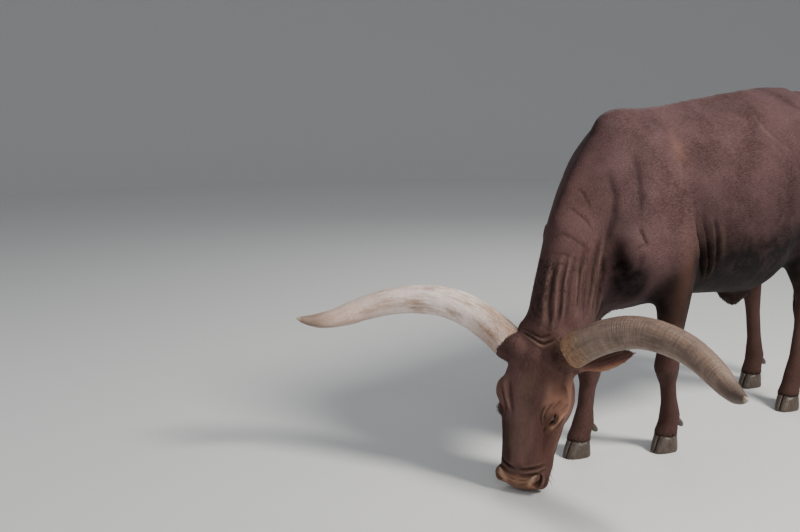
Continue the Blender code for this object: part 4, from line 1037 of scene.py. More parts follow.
def horn_radius(t):
    """The horn's radius at t, rounded where the table's straight pieces meet."""
    spread = 0.030 * min(1.0, 4 * (1 - t) + 0.12)
    rows = [t + spread * k for k in (-1.0, -0.5, 0.0, 0.5, 1.0)]
    table_t, table_r = zip(*HORN_RADII)
    return float(np.interp(rows, table_t, table_r) @ np.array((0.10, 0.22, 0.36, 0.22, 0.10)))


def horn_relief(travel, angle, seed):
    """How far growth rings, flakes at the base and old scars move the horn's surface."""
    at = Vector((travel, math.cos(angle) * STRAIGHT_RADIUS, math.sin(angle) * STRAIGHT_RADIUS))
    shift = Vector((seed * 3.1, 0, 0))
    waver = noise.noise(at * 14 + shift) * 2.2 + noise.noise(at * 40 + shift) * 0.6
    rings = math.sin(travel * 2 * math.pi / FINE_RING + waver) * 0.5
    rings += math.sin(travel * 2 * math.pi / COARSE_RING + waver * 1.7)
    under = 0.35 + 0.65 * max(0.0, -math.sin(angle + 0.5))
    ringed = 0.00030 * rings * under * (1 - ramp(travel, 0.55, 0.85)) * ramp(travel, 0.0, 0.05)
    flakes = 0.0016 * noise.noise(Vector((travel * 60, at.y * 150, at.z * 150)) + shift)
    flakes *= 1 - ramp(travel, 0.012, 0.055)
    uneven = 0.0009 * noise.noise(at * 22 + shift) + 0.0003 * noise.noise(at * 95 + shift)
    return ringed + flakes + uneven


def make_horn(side, word):
    """A horn from inside its sleeve of skin to its blunt tip, with straightened places for its material."""
    seed = 1.0 if side > 0 else 2.0
    centres, ts = [], []
    for k in range(HORN_RINGS + 1):
        t = -0.012 + 1.012 * (k / HORN_RINGS) ** 0.97
        ts.append(t)
        start = spline(HORN_CONTROL, HORN_START)
        back = (spline(HORN_CONTROL, HORN_START + 0.03) - start).normalized()
        centres.append(start + back * (t * 0.9) if t < HORN_START else spline(HORN_CONTROL, t))
    points, straight, share = [], [], []
    travel = 0.0
    for k, (centre, t) in enumerate(zip(centres, ts)):
        ahead, behind = centres[min(k + 1, HORN_RINGS)], centres[max(k - 1, 0)]
        along = (ahead - behind).normalized()
        across = along.cross(Vector((0, 0, 1))).normalized()
        up = across.cross(along)
        travel += (centre - centres[max(k - 1, 0)]).length
        size = horn_radius(max(t, 0.0)) * (0.965 if t < HORN_START else 1.0)
        blunt = ramp(t, 0.985, 1.0)
        for i in range(HORN_COLUMNS):
            angle = 2 * math.pi * i / HORN_COLUMNS
            reach = size * (1 - 0.35 * blunt)
            reach += horn_relief(travel, angle, seed) * min(1.0, size / 0.03)
            radial = across * math.cos(angle) * 1.015 + up * math.sin(angle)
            points.append(side_frame(side) @ (centre + radial * reach))
            straight.append((travel, math.cos(angle) * STRAIGHT_RADIUS, math.sin(angle) * STRAIGHT_RADIUS))
            share.append(max(t, 0.0))
    faces = band_faces(HORN_RINGS + 1, HORN_COLUMNS)
    last = HORN_RINGS * HORN_COLUMNS
    tip = len(points)
    points.append(side_frame(side) @ (centres[-1] + (centres[-1] - centres[-2]).normalized() * 0.004))
    straight.append((travel + 0.004, 0, 0))
    share.append(1.0)
    for i in range(HORN_COLUMNS):
        faces.append((last + i, last + (i + 1) % HORN_COLUMNS, tip))
    made = mesh_object("horn_keratin_" + word, points, faces)
    fix_normals(made)
    paint_vectors(made.data, "straight", straight)
    paint(made.data, {"share": share})
    made.data.materials.append(horn_material("horn_" + word, word))
    smooth_shaded(made)
    finish_piece(made, "horn", "horn_" + word)


def finish_piece(piece, slot, *nodes):
    """Hangs a piece on the root body and hides the imported nodes it replaces. The slot, what it stands for,
    is not used.
    """
    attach(piece, "root")
    if nodes:
        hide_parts(*nodes)


# Hooves

CLAW_LENGTH = 0.112
CLAW_WIDTH = 0.046
TOE_SHARE = 0.62
HEEL_SHARE = 0.38
CLEFT = 0.006
FEET = ("fore_left", "fore_right", "hind_left", "hind_right")


def claw_rings(centre, outward, steps=22):
    """One claw of a cloven hoof, from its sole up into the hair of the coronet."""
    levels = (
        # height, then toe, heel and width as shares of the sole's
        (0.000, 0.950, 0.960, 0.950), (0.0015, 0.985, 0.990, 0.985), (0.004, 1.000, 1.000, 1.000),
        (0.012, 0.975, 1.000, 1.000), (0.020, 0.935, 0.998, 0.995), (0.028, 0.880, 0.992, 0.985),
        (0.036, 0.815, 0.985, 0.975), (0.044, 0.750, 0.972, 0.960), (0.051, 0.700, 0.958, 0.945),
        (0.0570, 0.655, 0.942, 0.925), (0.0640, 0.560, 0.800, 0.820),
    )
    toe, heel = CLAW_LENGTH * TOE_SHARE, CLAW_LENGTH * HEEL_SHARE
    rings = []
    for height, toe_share, heel_share, width_share in levels:
        points = []
        for i in range(steps):
            angle = math.pi * i / (steps - 1)
            along = math.cos(angle)
            reach = toe * toe_share if along >= 0 else heel * heel_share
            bulge = math.sin(angle) ** 0.75 * (1.0 - 0.25 * max(along, 0))
            growth = 0.0005 * math.sin(height * 2 * math.pi / 0.0085 + 1.5 * along)
            growth += 0.0007 * noise.noise(Vector((along * 3, height * 90, outward * 5 + centre.x * 9)))
            aside = CLEFT / 2 + (CLAW_WIDTH * width_share + (growth if height > 0.003 else -0.0005)) * bulge
            points.append(centre + Vector((along * reach, outward * aside, height)))
        for back in (-0.75, -0.35, 0.05, 0.40, 0.75):
            depth = 0.0012 * (1 - back * back)
            reach = heel * heel_share if back < 0 else toe * toe_share
            points.append(centre + Vector((back * reach, outward * (CLEFT / 2 + depth), height)))
        rings.append(points)
    return rings


def dewclaw_rings(node):
    """The small claw behind the fetlock, a little inside its packed cone."""
    mesh = frame["nodes"][node].data
    points = places(mesh)
    middle = points.mean(axis=0)
    _, _, axes = np.linalg.svd(points - middle)
    along = axes[0] * (1 if axes[0][2] < 0 else -1)
    spans = (points - middle) @ along
    across = np.cross(along, (0.0, 1.0, 0.0))
    across /= np.linalg.norm(across)
    up = np.cross(along, across)
    low, high = spans.min(), spans.max()
    rings = []
    for share, size in ((0.0, 0.0130), (0.18, 0.0136), (0.36, 0.0134), (0.55, 0.0124), (0.72, 0.0106),
                        (0.86, 0.0080), (0.95, 0.0052), (1.0, 0.0024)):
        centre = middle + along * (low + (high - low) * share)
        ring = []
        for i in range(20):
            angle = 2 * math.pi * i / 20
            wave = 1 + 0.04 * math.sin(share * 30 + i)
            ring.append(Vector(centre + (across * math.cos(angle) + up * math.sin(angle)) * size * wave))
        rings.append(ring)
    return rings


def make_hooves():
    """The two claws and two dewclaws of each foot, as one piece for each foot."""
    material = hoof_material()
    for foot in FEET:
        made = None
        for outward, word in ((1, "left"), (-1, "right")):
            node = "claw_%s_%s" % (foot, word)
            low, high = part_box(node)
            inner = low.y if outward > 0 else high.y
            centre = Vector((high.x - CLAW_LENGTH * TOE_SHARE, inner - outward * CLEFT / 2, 0))
            for rings in (claw_rings(centre, outward), dewclaw_rings("dew" + node)):
                piece = loft_object("hoof_" + foot, rings)
                if made is None:
                    made = piece
                else:
                    join_into(made, piece)
        made.name = "hoof_" + foot
        made.data.materials.append(material)
        smooth_shaded(made)
        nodes = [kind + "_%s_%s" % (foot, word) for kind in ("claw", "dewclaw") for word in ("left", "right")]
        finish_piece(made, "hoof", *nodes)


# Eyes


CORNEA_RISE = 0.0006


def make_eye(side, word):
    """An eyeball with a raised cornea over a wide dark pupil."""
    rows, columns = 40, 64
    points, gaze = [], []
    for k in range(1, rows):
        angle = math.pi * k / rows
        for i in range(columns):
            turn = 2 * math.pi * i / columns
            across = math.sin(angle)
            way = Vector((across * math.cos(turn), across * math.sin(turn), math.cos(angle)))
            bulge = CORNEA_RISE * math.exp(-((angle / 0.55) ** 4))
            points.append(eye_frame(side) @ (way * (EYE_RADIUS - CORNEA_RISE + bulge)))
            gaze.append(tuple(way))
    faces = band_faces(rows - 1, columns) + [tuple((rows - 2) * columns + i for i in range(columns))]
    made = mesh_object("eyeball_" + word, points, faces)
    fix_normals(made)
    paint_vectors(made.data, "gaze", gaze)
    made.data.materials.append(eye_material())
    smooth_shaded(made)
    finish_piece(made, "eye", "eye_" + word)


# Hair: solid tapered tufts, each with three corners to a ring

RANDOM = np.random.default_rng(7175)
PATCH = 0.003
LIMBS = ("foreleg_left", "foreleg_right", "hindleg_left", "hindleg_right", "tail")


class Coat:
    """The finished skin as arrays, from which the tufts take their roots."""

    def __init__(self, skin, masks):
        mesh = skin.data
        mesh.calc_loop_triangles()
        self.triangles = read(mesh.loop_triangles, "vertices", 3, np.int64)
        self.points, self.ways, self.masks = places(mesh), normals(mesh), masks
        a, b, c = (self.points[self.triangles[:, k]] for k in range(3))
        self.areas = np.linalg.norm(np.cross(b - a, c - a), axis=1) / 2

    def roots(self, density, count):
        """Places spread over the skin by a density: where, which way is out, and masks."""
        chance = self.areas * density[self.triangles].mean(axis=1)
        picked = RANDOM.choice(len(chance), count, p=chance / chance.sum())
        a, b = RANDOM.random((2, count))
        over = a + b > 1
        a[over], b[over] = 1 - a[over], 1 - b[over]
        weights = np.stack([1 - a - b, a, b], axis=1)
        corners = self.triangles[picked]
        where = (self.points[corners] * weights[:, :, None]).sum(axis=1)
        out = unit((self.ways[corners] * weights[:, :, None]).sum(axis=1))
        masks = {name: (values[corners] * weights).sum(axis=1) for name, values in self.masks.items()}
        return where, out, masks


def unit(vectors):
    return vectors / np.maximum(np.linalg.norm(vectors, axis=1, keepdims=True), 1e-9)


def between(low, high, count):
    return RANDOM.uniform(low, high, count)


# The legs lie below this height and this far from the middle, and the tail behind this place
LIMB_TOP = 0.70
LIMB_ASIDE = 0.03
TAIL_START = -1.10


def on_limb(points):
    """Points of the legs and the hanging tail."""
    low = (points[:, 2] < LIMB_TOP) & (np.abs(points[:, 1] - MIDDLE) > LIMB_ASIDE)
    return low | (points[:, 0] < TAIL_START)


def nearest_limb(points):
    """Which leg or the tail each point is nearest to, by the boxes of those nodes."""
    distance = []
    for node in LIMBS:
        low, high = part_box(node)
        middle = np.array(((low.x + high.x) / 2, (low.y + high.y) / 2))
        distance.append(np.linalg.norm(points[:, :2] - middle, axis=1))
    return np.argmin(distance, axis=0)


def hair_lie(points):
    """Which way the coat lies.

    Back along the trunk, up the lowered neck, down the legs, and out from a whorl on the face.
    """
    x, y, z = points[:, 0], points[:, 1] - MIDDLE, points[:, 2]
    count = len(points)
    trunk = np.stack([-np.ones(count), np.zeros(count), -0.45 * ramp(np.abs(y), 0.05, 0.22)], axis=1)
    neck = np.tile((-0.60, 0.0, 0.72), (count, 1))
    neck[:, 2] -= 0.8 * ramp(np.abs(y), 0.03, 0.12)
    legs = np.tile((-0.12, 0.0, -1.0), (count, 1))
    low = (1 - ramp(z, 0.58, 0.78))[:, None] * (np.abs(y) > 0.03)[:, None]
    front = ramp(x, 0.36, 0.50)[:, None]
    tail = ramp(-x, 1.06, 1.12)[:, None]
    lie = trunk * (1 - front) + neck * front
    lie = lie * (1 - np.maximum(low * (1 - front), tail)) + legs * np.maximum(low * (1 - front), tail)
    head = on_head_side(points, 0.02)
    local = carried(points, HEAD_BACK)
    u, v, w = local[:, 0], local[:, 1], local[:, 2]
    down = np.tanh((u - 0.15) / 0.05)
    beside = ramp(np.abs(v), 0.050, 0.100)
    face = np.stack([down * (1 - 0.5 * beside), np.sign(v) * 0.35 * (1 - beside), -0.75 * beside], axis=1)
    ears = in_ear(points) & (u < 0.16) & (w < -0.045)
    along = np.tile(EAR_ALONG, (count, 1))
    along[:, 1] *= np.sign(v)
    face[ears] = along[ears]
    lie[head] = (face @ np.array(HEAD.to_3x3()).T)[head]
    return unit(lie)


def atlas_places(points, out):
    """Places in an unwrap of the skin that lays each part out from six sides, with no place shared."""
    head = on_head_side(points, 0.0)
    limb = ~head & on_limb(points)
    largest = np.argmax(np.abs(out), axis=1)
    facing = largest * 2 + (np.take_along_axis(out, largest[:, None], 1)[:, 0] > 0)
    low, high = (np.array(corner) for corner in CAD_BOX)
    made = np.zeros((len(points), 2))
    for part, chosen in (("body", ~head & ~limb), ("head", head), ("limb", limb)):
        which = nearest_limb(points)
        for side in range(6):
            axis = side // 2
            across, up = ((1, 2), (0, 2), (0, 1))[axis]
            groups = [chosen & (facing == side)]
            if part == "limb":
                groups = [groups[0] & (which == k) for k in range(len(LIMBS))]
            for k, group in enumerate(groups):
                if not group.any():
                    continue
                start, size = atlas_cell(part, side, k)
                base, reach = low, high - low
                if part == "head":
                    base, reach = np.array(HEAD.translation) - 0.60, np.array((1.2, 1.2, 1.2))
                if part == "limb":
                    box_low, box_high = (np.array(corner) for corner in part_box(LIMBS[k]))
                    base, reach = box_low, box_high - box_low
                flat = [across, up]
                share = np.clip((points[group][:, flat] - base[flat]) / reach[flat], 0, 1)
                made[group] = np.array(start) + PATCH + share * (np.array(size) - 2 * PATCH)
    return made


def atlas_cell(part, side, k):
    """Where a part's side begins in the unwrap, and how large it is."""
    if part == "body":
        return ((side % 2) * 0.5, 0.40 + (side // 2) * 0.20), (0.5, 0.20)
    if part == "head":
        return (side / 6, 0.20), (1 / 6, 0.20)
    return ((k * 6 + side) / 30, 0.0), (1 / 30, 0.20)


# Widths of a tuft as shares of its greatest, by places along it, and its thickness as a share of its width
TUFT_PROFILE = ((0, 0.35, 0.75, 1), (0.75, 1.0, 0.62, 0.2))
TUFT_THICKNESS = 0.20


def hair_mesh(name, lines, out, widths, masks, where, material):
    """One joined mesh of closed tufts. Each runs along its own line of places and ends in a point."""
    count, steps = lines.shape[0], lines.shape[1] - 1
    share = np.linspace(0, 1, steps + 1)[:-1]
    along = np.gradient(lines, axis=1)
    side = np.cross(along, out[:, None, :])
    side /= np.maximum(np.linalg.norm(side, axis=2, keepdims=True), 1e-9)
    up = np.cross(side, along)
    up /= np.maximum(np.linalg.norm(up, axis=2, keepdims=True), 1e-9)
    half = (widths[:, None] * np.interp(share, *TUFT_PROFILE)[None, :] / 2)[:, :, None]
    body, aside = lines[:, :steps], side[:, :steps] * half
    raised = up[:, :steps] * half * 2 * TUFT_THICKNESS
    rings = np.stack([body - aside, body + aside, body + raised], axis=2)
    points = np.concatenate([rings.reshape(count, steps * 3, 3), lines[:, steps:]], axis=1)
    local = [(0, 2, 1)]
    for k in range(steps - 1):
        for i in range(3):
            a, b, c, d = 3 * k + i, 3 * k + (i + 1) % 3, 3 * k + 3 + (i + 1) % 3, 3 * k + 3 + i
            local += [(a, b, c), (a, c, d)]
    last = 3 * (steps - 1)
    local += [(last + i, last + (i + 1) % 3, 3 * steps) for i in range(3)]
    local = np.array(local)
    size = 3 * steps + 1
    faces = (np.arange(count)[:, None, None] * size + local[None]).reshape(-1)
    mesh = bpy.data.meshes.new(name)
    mesh.vertices.add(count * size)
    mesh.vertices.foreach_set("co", points.astype(np.float32).ravel())
    mesh.loops.add(len(faces))
    mesh.loops.foreach_set("vertex_index", faces.astype(np.int32))
    mesh.polygons.add(len(faces) // 3)
    mesh.polygons.foreach_set("loop_start", np.arange(0, len(faces), 3, dtype=np.int32))
    mesh.update(calc_edges=True)
    mesh.polygons.foreach_set("use_smooth", np.ones(len(faces) // 3, bool))
    climb = np.concatenate([np.repeat(share, 3), [1.0]])
    paint(mesh, {key: np.repeat(values, size) for key, values in masks.items()})
    paint(mesh, {"tip": np.tile(climb, count)})
    over = np.concatenate([np.tile((-0.5, 0.5, 0.0), steps), [0.0]])
    patch = np.stack([over, climb - 0.5], axis=1) * PATCH
    unwrap = (atlas_places(where, out)[:, None, :] + patch[None]).reshape(-1, 2)
    mesh.uv_layers.new(name="OFBake").data.foreach_set("uv", unwrap[faces].astype(np.float32).ravel())
    mesh.materials.append(material)
    made = linked(name, mesh)
    finish_piece(made, "coat")
    return made


def tuft_lines(where, out, lie, lengths, steps, lift, bend, wander, crimp=0.0, sink=0.0015):
    """Lines for tufts: out of the skin at a lift, bent over along the lie, with a random turn and a crimp."""
    count = len(where)
    flat = unit(lie - out * (lie * out).sum(axis=1, keepdims=True))
    beside = np.cross(out, flat)
    turn = RANDOM.normal(0, wander, count)[:, None]
    flat = unit(flat + beside * turn)
    beside = np.cross(out, flat)
    t = np.linspace(0, 1, steps + 1)[None, :, None]
    lengths = lengths[:, None, None]
    rise = np.reshape(lift, (-1, 1, 1)) * t - np.reshape(bend, (-1, 1, 1)) * t * t
    phase = between(0, 2 * math.pi, count)[:, None, None]
    turns = between(1.2, 2.6, count)[:, None, None]
    wave = np.reshape(crimp, (-1, 1, 1)) * np.sin(turns * 2 * math.pi * t + phase) * t
    lines = where[:, None] - out[:, None] * sink
    lines = lines + flat[:, None] * lengths * t + out[:, None] * lengths * rise
    return lines + beside[:, None] * lengths * wave + out[:, None] * lengths * wave * 0.35


# How much the tufts of the short coat turn from their common way
SHORT_WANDER = 0.16


def short_coat(coat, name, density, count, length, width, material, lift=0.13, bend=0.10):
    """Short hair lying along the body, in tufts just proud of the skin."""
    where, out, masks = coat.roots(density, count)
    lengths = length * between(0.65, 1.25, count)
    lifts = lift * between(0.6, 1.4, count)
    lines = tuft_lines(where, out, hair_lie(where), lengths, 2, lifts, bend, SHORT_WANDER)
    hair_mesh(name, lines, out, width * between(0.7, 1.3, count), masks, where, material)


def long_hair(coat, name, density, count, length, width, material, steps, lift, bend, wander, crimp):
    """Longer hair that stands off the skin: fringes, crimped hair and the hair of the ears."""
    where, out, masks = coat.roots(density, count)
    lengths = length * between(0.5, 1.2, count)
    lifts = lift * between(0.5, 1.5, count)
    crimps = crimp * between(0.3, 1.5, count)
    lines = tuft_lines(where, out, hair_lie(where), lengths, steps, lifts, bend, wander, crimps)
    hair_mesh(name, lines, out, width * between(0.6, 1.3, count), masks, where, material)


def make_coat(skin, masks):
    """All the hair but the tail's: the short coat on every side, then the places where it is long."""
    coat = Coat(skin, masks)
    points = coat.points
    local = even_head(points)
    u, v, w = local[:, 0], np.abs(local[:, 1]), local[:, 2]
    x, y, z = points[:, 0], np.abs(points[:, 1] - MIDDLE), points[:, 2]
    head = on_head_side(points, 0.01)
    ears = in_ear(points) & (u < 0.16) & (w < -0.045)
    half = np.stack([u, v, w], axis=1)
    nostril, _ = along_path(half, NOSTRIL_PATH)
    eye = eye_distance(points)
    haired = (1 - np.clip(masks["bare"] * 3, 0, 1)) * (nostril > 0.014) * (z > 0.050)
    haired = haired * (eye > EYE_RADIUS + 0.004) * ~(head & (u > 0.480) & (v < 0.056) & (w > -0.080))
    limb = ~head & on_limb(points)
    front = ~head & ~limb & (x > 0.36)
    trunk = ~head & ~limb & ~front
    hair = hair_material("coat_hair", (*COAT_MAIN, 0.10), 0.46)
    dark = hair_material("dark_hair", (0.012, 0.0075, 0.0060, 0.80), 0.50)
    left = points[:, 1] > MIDDLE
    short_coat(coat, "coat_trunk_left", haired * trunk * left, 15000, 0.015, 0.0021, hair)
    short_coat(coat, "coat_trunk_right", haired * trunk * ~left, 12500, 0.015, 0.0021, hair)
    short_coat(coat, "coat_neck", haired * front, 14500, 0.012, 0.0018, hair, lift=0.11, bend=0.09)
    short_coat(coat, "coat_legs", haired * limb, 13000, 0.011, 0.0018, hair)
    face = haired * head * ~ears
    small = face * ((u > 0.30) | (eye < 0.055))
    short_coat(coat, "coat_head", face * ~(small > 0), 14500, 0.0085, 0.0015, hair, lift=0.20, bend=0.14)
    short_coat(coat, "coat_face", small.astype(float), 14500, 0.0055, 0.0011, hair, lift=0.18, bend=0.13)
    sleeve = face * hill((v, 0.102, 0.030), (u, 0.028, 0.050)) * ramp(w, -0.16, -0.08)
    long_hair(coat, "hair_poll", sleeve * (v > 0.062), 3000, 0.016, 0.0017, hair, 5, 0.34, 0.26, 0.28, 0.11)
    long_hair(coat, "hair_ears", haired * ears, 5600, 0.013, 0.0014, hair, 3, 0.28, 0.16, 0.30, 0.04)
    crest = front * haired * hill((y, 0, 0.030)) * (z > 0.62)
    under = (front | trunk) * haired * hill((y, 0, 0.050)) * (z < 0.80)
    long_hair(coat, "hair_crest", crest, 2200, 0.015, 0.0019, hair, 4, 0.18, 0.12, 0.14, 0.02)
    long_hair(coat, "hair_under", under, 3600, 0.022, 0.0022, dark, 4, 0.34, 0.20, 0.36, 0.05)
    fringe = haired * ~head * hill((z, 0.070, 0.010))
    fetlock = haired * ~head * hill((z, 0.105, 0.030)) * (coat.ways[:, 0] < -0.3)
    long_hair(coat, "hair_feet", fringe + fetlock, 4200, 0.016, 0.0017, dark, 3, 0.26, 0.16, 0.25, 0.03)
    chin = haired * head * (u > 0.43) * ramp(-w, 0.098, 0.118)
    long_hair(coat, "hair_chin", chin, 700, 0.015, 0.0009, dark, 3, 0.70, 0.25, 0.5, 0.04)
    lip = haired * head * (u > 0.455) * (v > 0.030) * ramp(-w, 0.035, 0.060)
    long_hair(coat, "whiskers", lip + 0.4 * chin, 120, 0.034, 0.0007, dark, 4, 0.90, 0.25, 0.4, 0.03)
    coat_of_lashes(dark)


LASH_STEPS = (0, 0.33, 0.67, 1)


def coat_of_lashes(material):
    """The lashes of both upper lids, and a few on the lower ones."""
    lines, outs, wheres = [], [], []
    for side, _ in SIDES:
        turn = np.array(eye_frame(side).to_3x3())
        for sign, count, length in ((1, 36, 0.009), (-1, 16, 0.005)):
            for share in np.linspace(-0.85, 0.95, count):
                x = (share + RANDOM.normal(0, 0.02)) * LID_HALF_LENGTH
                y = sign * (0.0090 if sign > 0 else 0.0052) * (1 - abs(share) ** 3)
                root = Vector((x, y, math.sqrt(LID_BALL ** 2 - x * x - y * y) - 0.0015))
                way = Vector((share * 0.25 + RANDOM.normal(0, 0.06), sign * 0.10, 1.0)).normalized()
                reach = length * RANDOM.uniform(0.75, 1.1)
                curl = Vector((0, sign, 0)) * reach * 0.45
                droop = Vector((0, sign, 0)) * reach * 0.55
                line = [root + way * reach * t + curl * t * t - droop * t * (1 - t) for t in LASH_STEPS]
                lines.append([tuple(eye_frame(side) @ p) for p in line])
                outs.append(turn @ np.array((0.0, float(sign), 0.0)))
                wheres.append(tuple(eye_frame(side) @ root))
    where, out = np.array(wheres), np.array(outs)
    masks = region_masks(where)
    hair_mesh("lashes", np.array(lines), out, np.full(len(lines), 0.0007), masks, where, material)


# How far the switch's highest hair reaches up over the end of the tail
SWITCH_LIFT = 0.016


def make_switch():
    """The tail's switch: long tapered locks from a narrow root, full in the middle and ragged at the end."""
    low, high = (np.array(corner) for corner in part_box("tail_switch"))
    middle, half = (low + high) / 2, (high - low) / 2
    count, steps = 3700, 6
    top = high[2] + SWITCH_LIFT
    begin = between(0.0, 0.62, count) ** 1.15
    ending = np.clip(begin + between(0.26, 0.52, count), 0, between(0.86, 0.995, count))
    angle = between(0, 2 * math.pi, count)
    depth = between(0.05, 1.0, count) ** 0.55
    t = np.linspace(0, 1, steps + 1)[None, :]
    q = begin[:, None] + (ending - begin)[:, None] * t
    envelope = np.interp(q, (0, 0.12, 0.40, 0.70, 0.88, 1), (0.32, 0.48, 0.86, 0.88, 0.55, 0.20))
    root_share = np.interp(begin, (0, 0.05, 0.15, 1), (1.0, 0.85, 0.50, 0.40))[:, None]
    spread = root_share + (1 - root_share) * np.clip(t * 1.6, 0, 1)
    wave = 0.05 * np.sin(q * 26 + between(0, 6.28, count)[:, None]) * t
    twist = angle[:, None] + 0.35 * np.sin(q * 5 + 1.0) * t + wave
    reach = envelope * depth[:, None] * spread
    lines = np.stack(
        [
            middle[0] + half[0] * 0.93 * reach * np.cos(twist),
            middle[1] + half[1] * 0.93 * reach * np.sin(twist),
            top - (top - low[2] - 0.004) * q,
        ],
        axis=2,
    )
    out = np.stack([np.cos(angle), np.sin(angle), np.zeros(count)], axis=1)
    where = lines[:, 0]
    masks = {"mealy": np.zeros(count), "warm": 0.15 * RANDOM.random(count), "dark": np.full(count, 0.8)}
    material = hair_material("switch_hair", (0.014, 0.009, 0.007, 0.75), 0.42)
    made = hair_mesh("switch_locks", lines, out, between(0.0030, 0.0062, count), masks, where, material)
    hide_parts("tail_switch")


# Materials


def node_tree(name):
    made = bpy.data.materials.new(name)
    made.use_nodes = True
    return made, made.node_tree, made.node_tree.nodes["Principled BSDF"]


def plain(name, colour, roughness):
    made, _, shader = node_tree(name)
    shader.inputs["Base Color"].default_value = (*colour, 1)
    shader.inputs["Roughness"].default_value = roughness
    return made


def attribute(tree, name, output="Fac"):
    node = tree.nodes.new("ShaderNodeAttribute")
    node.attribute_name = name
    return node.outputs[output]


def mapped(tree, vector, scale=(1, 1, 1), turn=(0, 0, 0)):
    node = tree.nodes.new("ShaderNodeMapping")
    node.inputs["Scale"].default_value = scale
    node.inputs["Rotation"].default_value = turn
    tree.links.new(vector, node.inputs["Vector"])
    return node.outputs["Vector"]


def noise_of(tree, vector, scale, detail=3.0, rough=0.55):
    node = tree.nodes.new("ShaderNodeTexNoise")
    node.inputs["Scale"].default_value = scale
    node.inputs["Detail"].default_value = detail
    node.inputs["Roughness"].default_value = rough
    tree.links.new(vector, node.inputs["Vector"])
    return node.outputs["Fac"]


def ranged(tree, value, low, high, to_low=0.0, to_high=1.0):
    node = tree.nodes.new("ShaderNodeMapRange")
    node.interpolation_type = "SMOOTHSTEP"
    for socket, number in (("From Min", low), ("From Max", high), ("To Min", to_low), ("To Max", to_high)):
        node.inputs[socket].default_value = number
    tree.links.new(value, node.inputs["Value"])
    return node.outputs["Result"]


def maths(tree, operation, a, b):
    node = tree.nodes.new("ShaderNodeMath")
    node.operation = operation
    for socket, value in zip(node.inputs, (a, b)):
        if isinstance(value, (int, float)):
            socket.default_value = value
        else:
            tree.links.new(value, socket)
    return node.outputs["Value"]


def times(tree, a, b):
    return maths(tree, "MULTIPLY", a, b)


def mixed(tree, share, a, b):
    """Mixes two colours, each a socket or a plain colour, by a socket or a number."""
    node = tree.nodes.new("ShaderNodeMix")
    node.data_type = "RGBA"
    factor = node.inputs[0]
    first, second = node.inputs[6], node.inputs[7]
    if isinstance(share, (int, float)):
        factor.default_value = share
    else:
        tree.links.new(share, factor)
    for socket, value in ((first, a), (second, b)):
        if isinstance(value, tuple):
            socket.default_value = (*value, 1)
        else:
            tree.links.new(value, socket)
    return node.outputs[2]


def bump(tree, height, distance, strength, below=None):
    node = tree.nodes.new("ShaderNodeBump")
    node.inputs["Distance"].default_value = distance
    node.inputs["Strength"].default_value = strength
    tree.links.new(height, node.inputs["Height"])
    if below is not None:
        tree.links.new(below, node.inputs["Normal"])
    return node.outputs["Normal"]


def position(tree):
    return tree.nodes.new("ShaderNodeTexCoord").outputs["Object"]


# Colours of the coat: COAT_DARK also serves for painted shade, COAT_WARM and COAT_PALE also for painted
# light.
COAT_DEEP = (0.030, 0.0140, 0.0125)
COAT_MAIN = (0.066, 0.0350, 0.0346)
COAT_LIGHT = (0.150, 0.0950, 0.0980)
COAT_WARM = (0.300, 0.1420, 0.0950)
COAT_MEALY = (0.235, 0.1260, 0.0820)
COAT_PALE = (0.560, 0.3700, 0.2500)
COAT_DARK = (0.0050, 0.0032, 0.0028)
BARE_SKIN = (0.0400, 0.0260, 0.0230)
TIP_SHARE = 0.30


def coat_colour(tree):
    """The coat's colour from its masks, painted shade and painted light among them, and its own mottling, the
    same on skin and hair.
    """
    where = position(tree)
    broad = ranged(tree, noise_of(tree, where, 5.0, 3.0), 0.32, 0.68)
    back = noise_of(tree, mapped(tree, where, (46, 340, 260), (0, -0.35, 0)), 1.0, 4.0, 0.7)
    down = noise_of(tree, mapped(tree, where, (340, 340, 40)), 1.0, 4.0, 0.7)
    fine = ranged(tree, mixed(tree, attribute(tree, "upright"), back, down), 0.34, 0.70)
    colour = mixed(tree, broad, COAT_MAIN, COAT_DEEP)
    colour = mixed(tree, times(tree, fine, 0.36), colour, COAT_LIGHT)
    uneven = ranged(tree, noise_of(tree, where, 22.0, 3.0), 0.25, 0.75, 0.76, 1.12)
    # The masks lay on the marks, painted shade and painted light among them.
    marks = (("dark", COAT_DARK), ("warm", COAT_WARM), ("mealy", COAT_MEALY), ("pale", COAT_PALE))
    for name, tint in marks:
        colour = mixed(tree, times(tree, attribute(tree, name), uneven), colour, tint)
    return colour


def skin_material():
    made, tree, shader = node_tree("coat")
    where = position(tree)
    colour = mixed(tree, attribute(tree, "bare"), coat_colour(tree), BARE_SKIN)
    tree.links.new(colour, shader.inputs["Base Color"])
    hair_body = noise_of(tree, mapped(tree, where, (60, 420, 300), (0, -0.35, 0)), 1.0, 3.0, 0.6)
    hair_down = noise_of(tree, mapped(tree, where, (420, 420, 60)), 1.0, 3.0, 0.6)
    share = attribute(tree, "upright")
    hair = mixed(tree, share, hair_body, hair_down)
    pores = noise_of(tree, where, 260.0, 2.0)
    lumps = noise_of(tree, where, 26.0, 3.0)
    normal = bump(tree, lumps, 0.004, 0.25)
    normal = bump(tree, pores, 0.0012, 0.20, normal)
    normal = bump(tree, hair, 0.0018, 0.55, normal)
    tree.links.new(normal, shader.inputs["Normal"])
    rough = ranged(tree, hair, 0.3, 0.7, 0.50, 0.72)
    tree.links.new(rough, shader.inputs["Roughness"])
    shader.inputs["Specular IOR Level"].default_value = 0.05
    shader.inputs["Sheen Weight"].default_value = 0.01
    shader.inputs["Sheen Roughness"].default_value = 0.42
    shader.inputs["Sheen Tint"].default_value = (0.80, 0.72, 0.90, 1)
    return made


